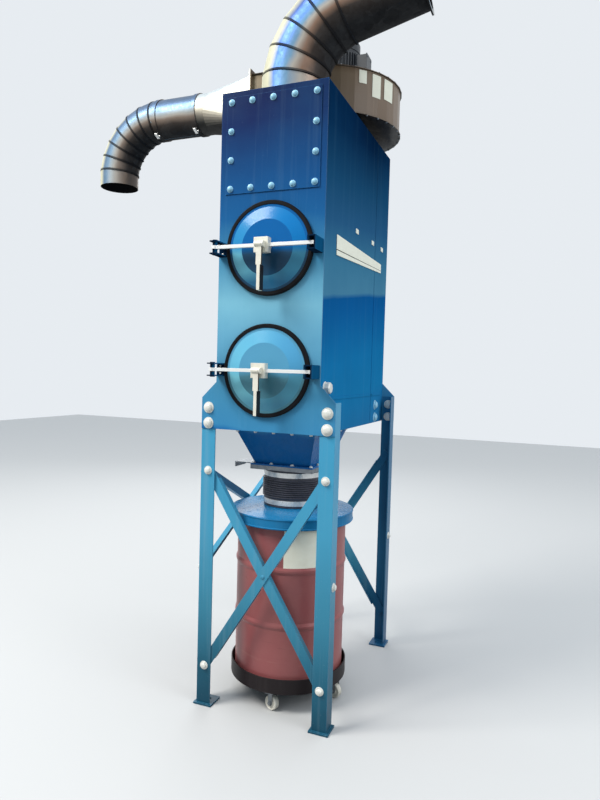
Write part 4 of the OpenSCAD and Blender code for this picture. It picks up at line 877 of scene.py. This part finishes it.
class Form:
    """Closed solids in one mesh. Sizes are in metres, in the machine's own frame."""

    def __init__(self):
        self.mesh = bmesh.new()

    def box(self, low, high, turn=None):
        """A box between two corners, turned about its own middle."""
        centre = (Vector(low) + Vector(high)) / 2
        size = Matrix.Diagonal([*(Vector(high) - Vector(low)), 1])
        place = Matrix.Translation(centre) @ (turn or Matrix()) @ size
        bmesh.ops.create_cube(self.mesh, size=1, matrix=place)

    def rod(self, start, end, radius, sides):
        """A round or many-sided rod from one point to another."""
        run = Vector(end) - Vector(start)
        turn = run.to_track_quat("Z", "Y").to_matrix().to_4x4()
        middle = Matrix.Translation((Vector(start) + Vector(end)) / 2)
        bmesh.ops.create_cone(self.mesh, cap_ends=True, segments=sides, radius1=radius, radius2=radius,
                              depth=run.length, matrix=middle @ turn)

    def lathe(self, outline, centre, axis, steps):
        """Turns an outline of (radius, height) points once round an axis."""
        turn = Vector(axis).to_track_quat("Z", "Y").to_matrix()
        columns = []
        for i in range(steps):
            angle = 2 * math.pi * i / steps
            columns.append([self.mesh.verts.new(Vector(centre) + turn @ Vector(
                (r * math.cos(angle), r * math.sin(angle), h))) for r, h in outline])
        self.skin(columns, True)

    def patch(self, surface, spans, thick, steps):
        """surface(u, v) gives (point, normal). spans is ((u from, u to), (v from, v to))."""
        (u0, u1), (v0, v1) = spans
        columns = []
        for i in range(steps[0] + 1):
            u = u0 + (u1 - u0) * i / steps[0]
            line = [surface(u, v0 + (v1 - v0) * j / steps[1]) for j in range(steps[1] + 1)]
            near = [Vector(point) for point, normal in line]
            far = [Vector(point) + Vector(normal) * thick for point, normal in reversed(line)]
            columns.append([self.mesh.verts.new(point) for point in near + far])
        self.skin(columns, False)

    def skin(self, columns, whole):
        """Joins neighbouring columns of points with faces, and closes the two ends if they don't meet."""
        count = len(columns[0])
        for i in range(len(columns) if whole else len(columns) - 1):
            first, second = columns[i], columns[(i + 1) % len(columns)]
            for j in range(count):
                self.mesh.faces.new((first[j], first[(j + 1) % count], second[(j + 1) % count], second[j]))
        if not whole:
            self.mesh.faces.new(columns[0])
            self.mesh.faces.new(columns[-1])

    def done(self, name, finish, body="stand"):
        """Makes the solids one piece that rides on a body."""
        bmesh.ops.recalc_face_normals(self.mesh, faces=self.mesh.faces)
        mesh = bpy.data.meshes.new(name)
        self.mesh.to_mesh(mesh)
        self.mesh.free()
        mesh.materials.append(finish)
        mesh.polygons.foreach_set("use_smooth", [True] * len(mesh.polygons))
        mesh.set_sharp_from_angle(angle=math.radians(sharpest_smooth))
        piece = bpy.data.objects.new(name, mesh)
        scene.collection.objects.link(piece)
        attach(piece, body)


print("small solids ready")

# %% [markdown]
# The right side carries a long pale plate that tapers towards the back, in two strips with a dark gap
# between them, and three small tabs above it. They are left blank here.

# %% Plates of the right side
side_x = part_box("right_side_sheet")[1].x
plate_ys = (-0.405, 0.425)
front_zs, back_zs = (2.287, 2.311, 2.316, 2.386), (2.326, 2.343, 2.347, 2.378)
tab_ys, tab_half, tab_zs, tab_out = (-0.075, 0.233, 0.438), 0.022, (2.458, 2.482), 0.003


def on_side(lift):
    """u runs from the plate's front end to its back end, and v is a height at the front end."""
    def surface(u, v):
        share = (v - front_zs[0]) / (front_zs[-1] - front_zs[0])
        back = back_zs[0] + share * (back_zs[-1] - back_zs[0])
        return (side_x + lift, plate_ys[0] + u * (plate_ys[1] - plate_ys[0]), v + u * (back - v)), (1, 0, 0)
    return surface


form = Form()
form.patch(on_side(0), ((0, 1), (front_zs[0] + 0.001, front_zs[-1] - 0.001)), 0.0014, (2, 1))
form.done("side_plate_backing", black_rubber)
form = Form()
for low, high in (front_zs[:2], front_zs[2:]):
    form.patch(on_side(0.0012), ((0, 1), (low, high)), 0.0022, (2, 1))
for y in tab_ys:
    form.box((side_x, y - tab_half, tab_zs[0]), (side_x + tab_out, y + tab_half, tab_zs[1]))
form.done("side_plates", bare_plate)

# %% [markdown]
# Folded seams stiffen the sheets. Each side has one upright near its back edge and one level near the floor
# of the cabinet. The back has two uprights and a level one, and the top has two that run from front to
# back. On the right side two round-headed bolts stand near the back leg, and a larger cap near the front one.

# %% Seams and side bolts of the cabinet
half, seam_out = 0.007, 0.0022
side_seam_y, side_seam_zs, side_level_z, side_level_end = 0.300, (1.425, 3.050), 1.590, 0.50
back_seam_x, back_half, back_seam_zs, back_level_z, back_level_end = 0.262, 0.009, (1.60, 3.045), 1.70, 0.27
top_seam_x, top_seam_half, top_seam_zs, top_seam_end = 0.266, 0.006, (3.056, 3.059), 0.005
cab_low, cab_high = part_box("front_sheet")[0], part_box("back_sheet")[1]
for sx, name, finish in ((-1, "left_side_seams", blue_enamel), (1, "right_side_seams", side_enamel)):
    form = Form()
    low_x, high_x = sorted((sx * side_x, sx * (side_x + seam_out)))
    form.box((low_x, side_seam_y - half, side_seam_zs[0]), (high_x, side_seam_y + half, side_seam_zs[1]))
    form.box((low_x, -side_level_end, side_level_z - half), (high_x, side_level_end, side_level_z + half))
    form.done(name, finish)
form = Form()
out_y = cab_high.y + seam_out
for x in (-back_seam_x, back_seam_x):
    form.box((x - back_half, cab_high.y, back_seam_zs[0]), (x + back_half, out_y, back_seam_zs[1]))
form.box((-back_level_end, cab_high.y, back_level_z - half), (back_level_end, out_y, back_level_z + half))
for x in (-top_seam_x, top_seam_x):
    form.box((x - top_seam_half, cab_low.y + top_seam_end, top_seam_zs[0]),
             (x + top_seam_half, cab_high.y - top_seam_end, top_seam_zs[1]))
form.done("back_and_top_seams", blue_enamel)
side_bolts = [(side_x, 0.400, 1.526), (side_x, 0.400, 1.452)]
bolts("side_bolts", side_bolts, RIGHT, (0.021, 0.010), (0.029, 0.003), bolt_blue, dome=0.35, sides=24)
side_cap = [(side_x, -0.508, 1.642)]
bolts("side_cap", side_cap, RIGHT, (0.028, 0.028), (0.032, 0.003), bolt_white, dome=0.2, sides=8)

# %% [markdown]
# The braces cross with a small bolt through both. It was painted with them, so it only shows as a soft
# bump. Small bolts also hold the brackets that carry the bars across the covers.

# %% Bolts of the braces' crossings and of the brackets
bolts("crossing_bolts", crossings, [FRONT, BACK, LEFT], (0.010, 0.007), (0.015, 0.002), leg_enamel,
      slot="blue_paint", dome=0.25)
cover_zs = (1.716, 2.298)
bracket_out, bracket_x, apart = cab_low.y - 0.004, 0.250, 0.018
places = [(sx * bracket_x, bracket_out, z + dz) for sx in (-1, 1) for z in cover_zs for dz in (-apart, apart)]
bolts("bracket_bolts", places, FRONT, (0.0055, 0.004), (0.008, 0.0012), bolt_white)

# %% [markdown]
# The drum has one welded seam down its back and a pale paper label on its front. The label's print isn't
# copied, so it is a blank sheet. It follows the drum's curve a hair above the paint. The lid's rim has two
# rolled beads.

# %% Drum
drum_x, drum_y, drum_r = 0.0, -0.205, 0.289
label_turn, label_zs = (math.radians(15), math.radians(51)), (0.728, 0.930)
seam_turn, seam_zs = (math.radians(178.6), math.radians(181.4)), (0.145, 0.925)


def on_drum(lift):
    """A point on the drum's wall at an angle and a height, and the way it faces."""
    def surface(angle, z):
        away = Vector((math.sin(angle), -math.cos(angle), 0))
        return Vector((drum_x, drum_y, z)) + away * (drum_r + lift), away
    return surface


form = Form()
form.patch(on_drum(0.0004), (label_turn, label_zs), 0.0006, (20, 4))
form.done("drum_label", bare_label)
form = Form()
form.patch(on_drum(-0.001), (seam_turn, seam_zs), 0.0022, (4, 2))
form.done("drum_seam", drum_red)
lid_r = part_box("drum_lid")[1].x
form = Form()
bead_turns = [math.pi * (i / 5 - 0.5) for i in range(6)]
bead = [(lid_r - 0.001 + 0.004 * math.cos(a), 0.0042 * math.sin(a)) for a in bead_turns]
for z in (0.9405, 0.9850):
    form.lathe(bead, (drum_x, drum_y, z), UP, 96)
form.done("lid_beads", blue_enamel)

# %% [markdown]
# The fan's housing is a spiral, so its trim follows the same spiral. Three blank plates stand where the
# real fan has its notices. Small bolts hold the wall's lips at the top and bottom, and their heads stand
# over and under them.

# %% Fan housing
fan_x, fan_y = 0.015, middle("fan_motor").y
scroll_r, scroll_rate = 0.474, 0.152


def on_scroll(lift):
    """A point on the spiral wall at an angle in degrees, and the way it faces."""
    def surface(degrees, z):
        angle = math.radians(degrees)
        radius = scroll_r * math.exp(-scroll_rate * angle)
        away = Vector((math.sin(angle), -math.cos(angle), 0))
        along = Vector((math.cos(angle), math.sin(angle), 0))
        facing = (away + along * scroll_rate).normalized()
        return Vector((fan_x, fan_y, z)) + away * radius + facing * lift, facing
    return surface


form = Form()
for turn, heights, steps in (((33, 39), (3.262, 3.330), 6), ((44, 52), (3.205, 3.325), 8),
                             ((56, 67), (3.215, 3.325), 8)):
    form.patch(on_scroll(0.0004), (turn, heights), 0.0008, (steps, 1))
form.done("fan_plates", bare_plate)
lip_point, lip_turns = on_scroll(0.001), range(20, 270, 10)
for name, z, facing in (("fan_top_bolts", fan_high, UP), ("fan_low_bolts", fan_low, DOWN)):
    places = [lip_point(turn, z)[0] for turn in lip_turns]
    bolts(name, places, facing, (0.005, 0.004), (0.007, 0.001), dull_zinc)
form = Form()
form.patch(on_scroll(0), ((149, 151), (fan_low + lip_end, fan_high - lip_end)), 0.002, (3, 1))
form.done("fan_wall_seam", tan_enamel)

# %% [markdown]
# A ring of equal blades makes two things here: the cooling fins round the motor, and the pleats of the
# filter paper inside the cabinet. The tree turns a circle of points into boxes that all point away from the
# axis.

# %% A tree for rings of blades


def blade_tree():
    """Points go in, and each becomes a ring of boxes in one finish."""
    tree = bpy.data.node_groups.new("ring_of_blades", "GeometryNodeTree")
    face = tree.interface
    face.new_socket("Centres", in_out="INPUT", socket_type="NodeSocketGeometry")
    face.new_socket("Count", in_out="INPUT", socket_type="NodeSocketInt").default_value = 36
    face.new_socket("Radius", in_out="INPUT", socket_type="NodeSocketFloat").default_value = 0.1
    size = face.new_socket("Blade Size", in_out="INPUT", socket_type="NodeSocketVector")
    size.default_value = (0.01, 0.002, 0.1)
    face.new_socket("Turn", in_out="INPUT", socket_type="NodeSocketRotation")
    face.new_socket("Finish", in_out="INPUT", socket_type="NodeSocketMaterial")
    face.new_socket("Blades", in_out="OUTPUT", socket_type="NodeSocketGeometry")
    add, link = tree.nodes.new, tree.links.new
    given, out = add("NodeGroupInput"), add("NodeGroupOutput")
    circle, blade = add("GeometryNodeMeshCircle"), add("GeometryNodeMeshCube")
    link(given.outputs["Count"], circle.inputs["Vertices"])
    link(given.outputs["Radius"], circle.inputs["Radius"])
    link(given.outputs["Blade Size"], blade.inputs["Size"])
    place, away = add("GeometryNodeInputPosition"), add("FunctionNodeAlignRotationToVector")
    ring = add("GeometryNodeInstanceOnPoints")
    away.axis = "X"
    away.pivot_axis = "Z"
    link(place.outputs[0], away.inputs["Vector"])
    link(circle.outputs["Mesh"], ring.inputs["Points"])
    link(blade.outputs["Mesh"], ring.inputs["Instance"])
    link(away.outputs[0], ring.inputs["Rotation"])
    whole, copies = add("GeometryNodeRealizeInstances"), add("GeometryNodeInstanceOnPoints")
    link(ring.outputs[0], whole.inputs[0])
    link(given.outputs["Centres"], copies.inputs["Points"])
    link(whole.outputs[0], copies.inputs["Instance"])
    link(given.outputs["Turn"], copies.inputs["Rotation"])
    real, finish = add("GeometryNodeRealizeInstances"), add("GeometryNodeSetMaterial")
    link(copies.outputs[0], real.inputs[0])
    link(real.outputs[0], finish.inputs["Geometry"])
    link(given.outputs["Finish"], finish.inputs["Material"])
    link(finish.outputs[0], out.inputs[0])
    return tree


ring_of_blades = blade_tree()


def blades(name, centres, count, radius, size, finish, slot, turn=(0, 0, 0)):
    """size is how far a blade runs outwards, how thick it is, and how long it is along the axis."""
    mesh = bpy.data.meshes.new(name)
    mesh.from_pydata([tuple(c) for c in centres], [], [])
    return grown(name, mesh, ring_of_blades, {
        "Count": count, "Radius": radius, "Blade Size": size, "Turn": turn, "Finish": finish}, "stand", slot)


motor_r, motor_base = 0.115, 3.352
blades("motor_fins", [(fan_x, fan_y, motor_base + 0.135)], 44, motor_r + 0.004, (0.012, 0.003, 0.19),
       gray_enamel, "gray_paint")
cart_low, cart_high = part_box("cartridges")
cart_r, cart_y = (cart_high.x - cart_low.x) / 2 - 0.004, middle("cartridges").y
blades("filter_pleats", [(0, cart_y, z) for z in cover_zs], 132, cart_r - 0.001, (0.0055, 0.0030, 0.62),
       filter_paper, "filter_media", (math.pi / 2, 0, 0))

# %% [markdown]
# The motor gets the parts that say motor at a glance: a slotted cowl over its own cooling fan, a terminal
# box with a screwed lid and a plugged gland, and a lifting eye.

# %% Motor
motor_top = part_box("fan_motor")[1]
ring_half, ring_low, ring_high = 0.0022, -0.001, 0.002
spoke_half = Vector((0.082, 0.002, 0))
form = Form()
for r in (0.030, 0.046, 0.062, 0.078):
    inner_r, outer_r = r - ring_half, r + ring_half
    outline = [(inner_r, ring_low), (outer_r, ring_low), (outer_r, ring_high), (inner_r, ring_high)]
    form.lathe(outline, (fan_x, fan_y, motor_top.z + 0.0005), UP, 48)
hub = Vector((fan_x, fan_y, motor_top.z))
for k in range(6):
    spoke = Matrix.Rotation(k * math.pi / 6, 4, "Z")
    form.box(hub - spoke_half, hub + spoke_half + Vector((0, 0, 0.0016)), spoke)
flange_outline = [(motor_r, 0), (motor_r + 0.006, 0.003), (motor_r + 0.006, 0.012), (motor_r, 0.015)]
form.lathe(flange_outline, (fan_x, fan_y, motor_base), UP, 64)
lid_x, lid_out, lid_over = motor_top.x, 0.005, 0.003
box_ys, box_zs = (fan_y - 0.045, fan_y + 0.045), (motor_base + 0.110, motor_base + 0.220)
form.box((lid_x - 0.001, box_ys[0] - lid_over, box_zs[0] - lid_over),
         (lid_x + lid_out, box_ys[1] + lid_over, box_zs[1] + lid_over))
gland_x = lid_x - 0.030
form.rod((gland_x, fan_y, box_zs[0] + 0.002), (gland_x, fan_y, box_zs[0] - 0.022), 0.014, 6)
form.done("motor_trim", gray_enamel)
screw_zs = (box_zs[0] + 0.012, box_zs[1] - 0.012)
places = [(lid_x + lid_out, fan_y + sy * 0.036, z) for sy in (-1, 1) for z in screw_zs]
bolts("box_screws", places, RIGHT, (0.004, 0.003), (0.0055, 0.0008), dull_zinc)
foot_r, foot_turns = 0.125, [math.pi / 4 + k * math.pi / 2 for k in range(4)]
places = [(fan_x + foot_r * math.cos(a), fan_y + foot_r * math.sin(a), motor_base) for a in foot_turns]
bolts("motor_bolts", places, UP, (0.008, 0.007), (0.012, 0.002), dull_zinc)
form = Form()
eye_r, wire_r = 0.013, 0.004
eye = [(eye_r + wire_r * math.cos(a), wire_r * math.sin(a)) for a in [k * math.pi / 6 for k in range(12)]]
form.lathe(eye, (fan_x - motor_r - 0.012, fan_y, motor_base + 0.19), FRONT, 28)
form.done("lifting_eye", dull_zinc)

# %% [markdown]
# Sheet-metal ducts are screwed together where one length slips into the next. Each clamped band closes with
# a small latch on its underside, and the exhaust's straight length has one long seam. A bead of weld runs
# round the foot of the inlet's collar.

# %% Duct screws, seams and latches
duct_y, duct_z, duct_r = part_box("exhaust_pipe")[0].y + 0.1195, 3.220, 0.1145
band_xs, screw_xs, seam_xs = (-0.7215, -0.989), (-0.712, -1.010), (-0.985, -0.725)
band_r, latch_turn, latch_tilt = duct_r + 0.006, math.radians(-118), math.radians(-26)


def screw_ring(name, centres, radius, count, first, second):
    """Screws round a pipe at each centre. first and second are the axes of the circle that they stand on."""
    places, facings = [], []
    for centre in centres:
        for k in range(count):
            angle = 2 * math.pi * (k + 0.5) / count
            away = Vector(first) * math.cos(angle) + Vector(second) * math.sin(angle)
            places.append(Vector(centre) + away * (radius + 0.0005))
            facings.append(tuple(away))
    bolts(name, places, facings, (0.0035, 0.0025), (0.005, 0.0008), dull_zinc)


form = Form()
for x in band_xs:
    at = Vector((x, duct_y + band_r * math.cos(latch_turn), duct_z + band_r * math.sin(latch_turn)))
    form.rod(at + Vector((-0.011, 0, -0.004)), at + Vector((0.011, 0, -0.004)), 0.005, 12)
    form.box(at + Vector((-0.009, -0.034, -0.012)), at + Vector((0.009, 0.004, -0.006)),
             Matrix.Rotation(latch_tilt, 4, "X"))
form.done("band_latches", bright_zinc)
form = Form()
duct_under = duct_z - duct_r
form.box((seam_xs[0], duct_y - 0.006, duct_under - 0.0016), (seam_xs[1], duct_y + 0.006, duct_under + 0.002))
form.done("exhaust_seam", duct_zinc)
screw_ring("duct_screws", [(x, duct_y, duct_z) for x in screw_xs], duct_r, 8, BACK, UP)
inlet_y, inlet_r, collar_foot = middle("inlet_elbow").y, 0.1630, 3.056
screw_ring("collar_screws", [(0, inlet_y, collar_foot + 0.026)], inlet_r, 12, RIGHT, BACK)
form = Form()
weld = [(inlet_r - 0.003, 0), (inlet_r + 0.007, 0), (inlet_r + 0.005, 0.004), (inlet_r, 0.007),
        (inlet_r - 0.003, 0.007)]
form.lathe(weld, (0, inlet_y, collar_foot), UP, 96)
form.done("collar_weld", duct_zinc)

# %% [markdown]
# Each wheel turns on a bolt through its fork, so the forks get a nut at each end. The nuts ride on the
# forks, because the forks swivel. The air tank has a bead of weld near each end.

# %% Axle nuts and the air tank
fork_turn, axle_half = math.radians(72), 0.0225
across = Vector((math.cos(fork_turn), math.sin(fork_turn), 0))
for side in ("front", "right", "back", "left"):
    hub = middle(side + "_caster_wheel")
    places = [hub + across * (sign * axle_half) for sign in (-1, 1)]
    bolts(side + "_axle_nuts", places, [tuple(-across), tuple(across)], (0.0085, 0.005), (0.011, 0.001),
          dull_zinc, body=side + "_fork")
tank_low, tank_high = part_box("air_header")
tank_y, tank_z, tank_r, weld_in = 0.680, 2.680, 0.057, 0.022
form = Form()
ring = [(tank_r - 0.002, -0.004), (tank_r + 0.002, -0.002), (tank_r + 0.002, 0.002), (tank_r - 0.002, 0.004)]
for x in (tank_low.x + weld_in, tank_high.x - weld_in):
    form.lathe(ring, (x, tank_y, tank_z), RIGHT, 48)
form.done("tank_welds", blue_enamel)
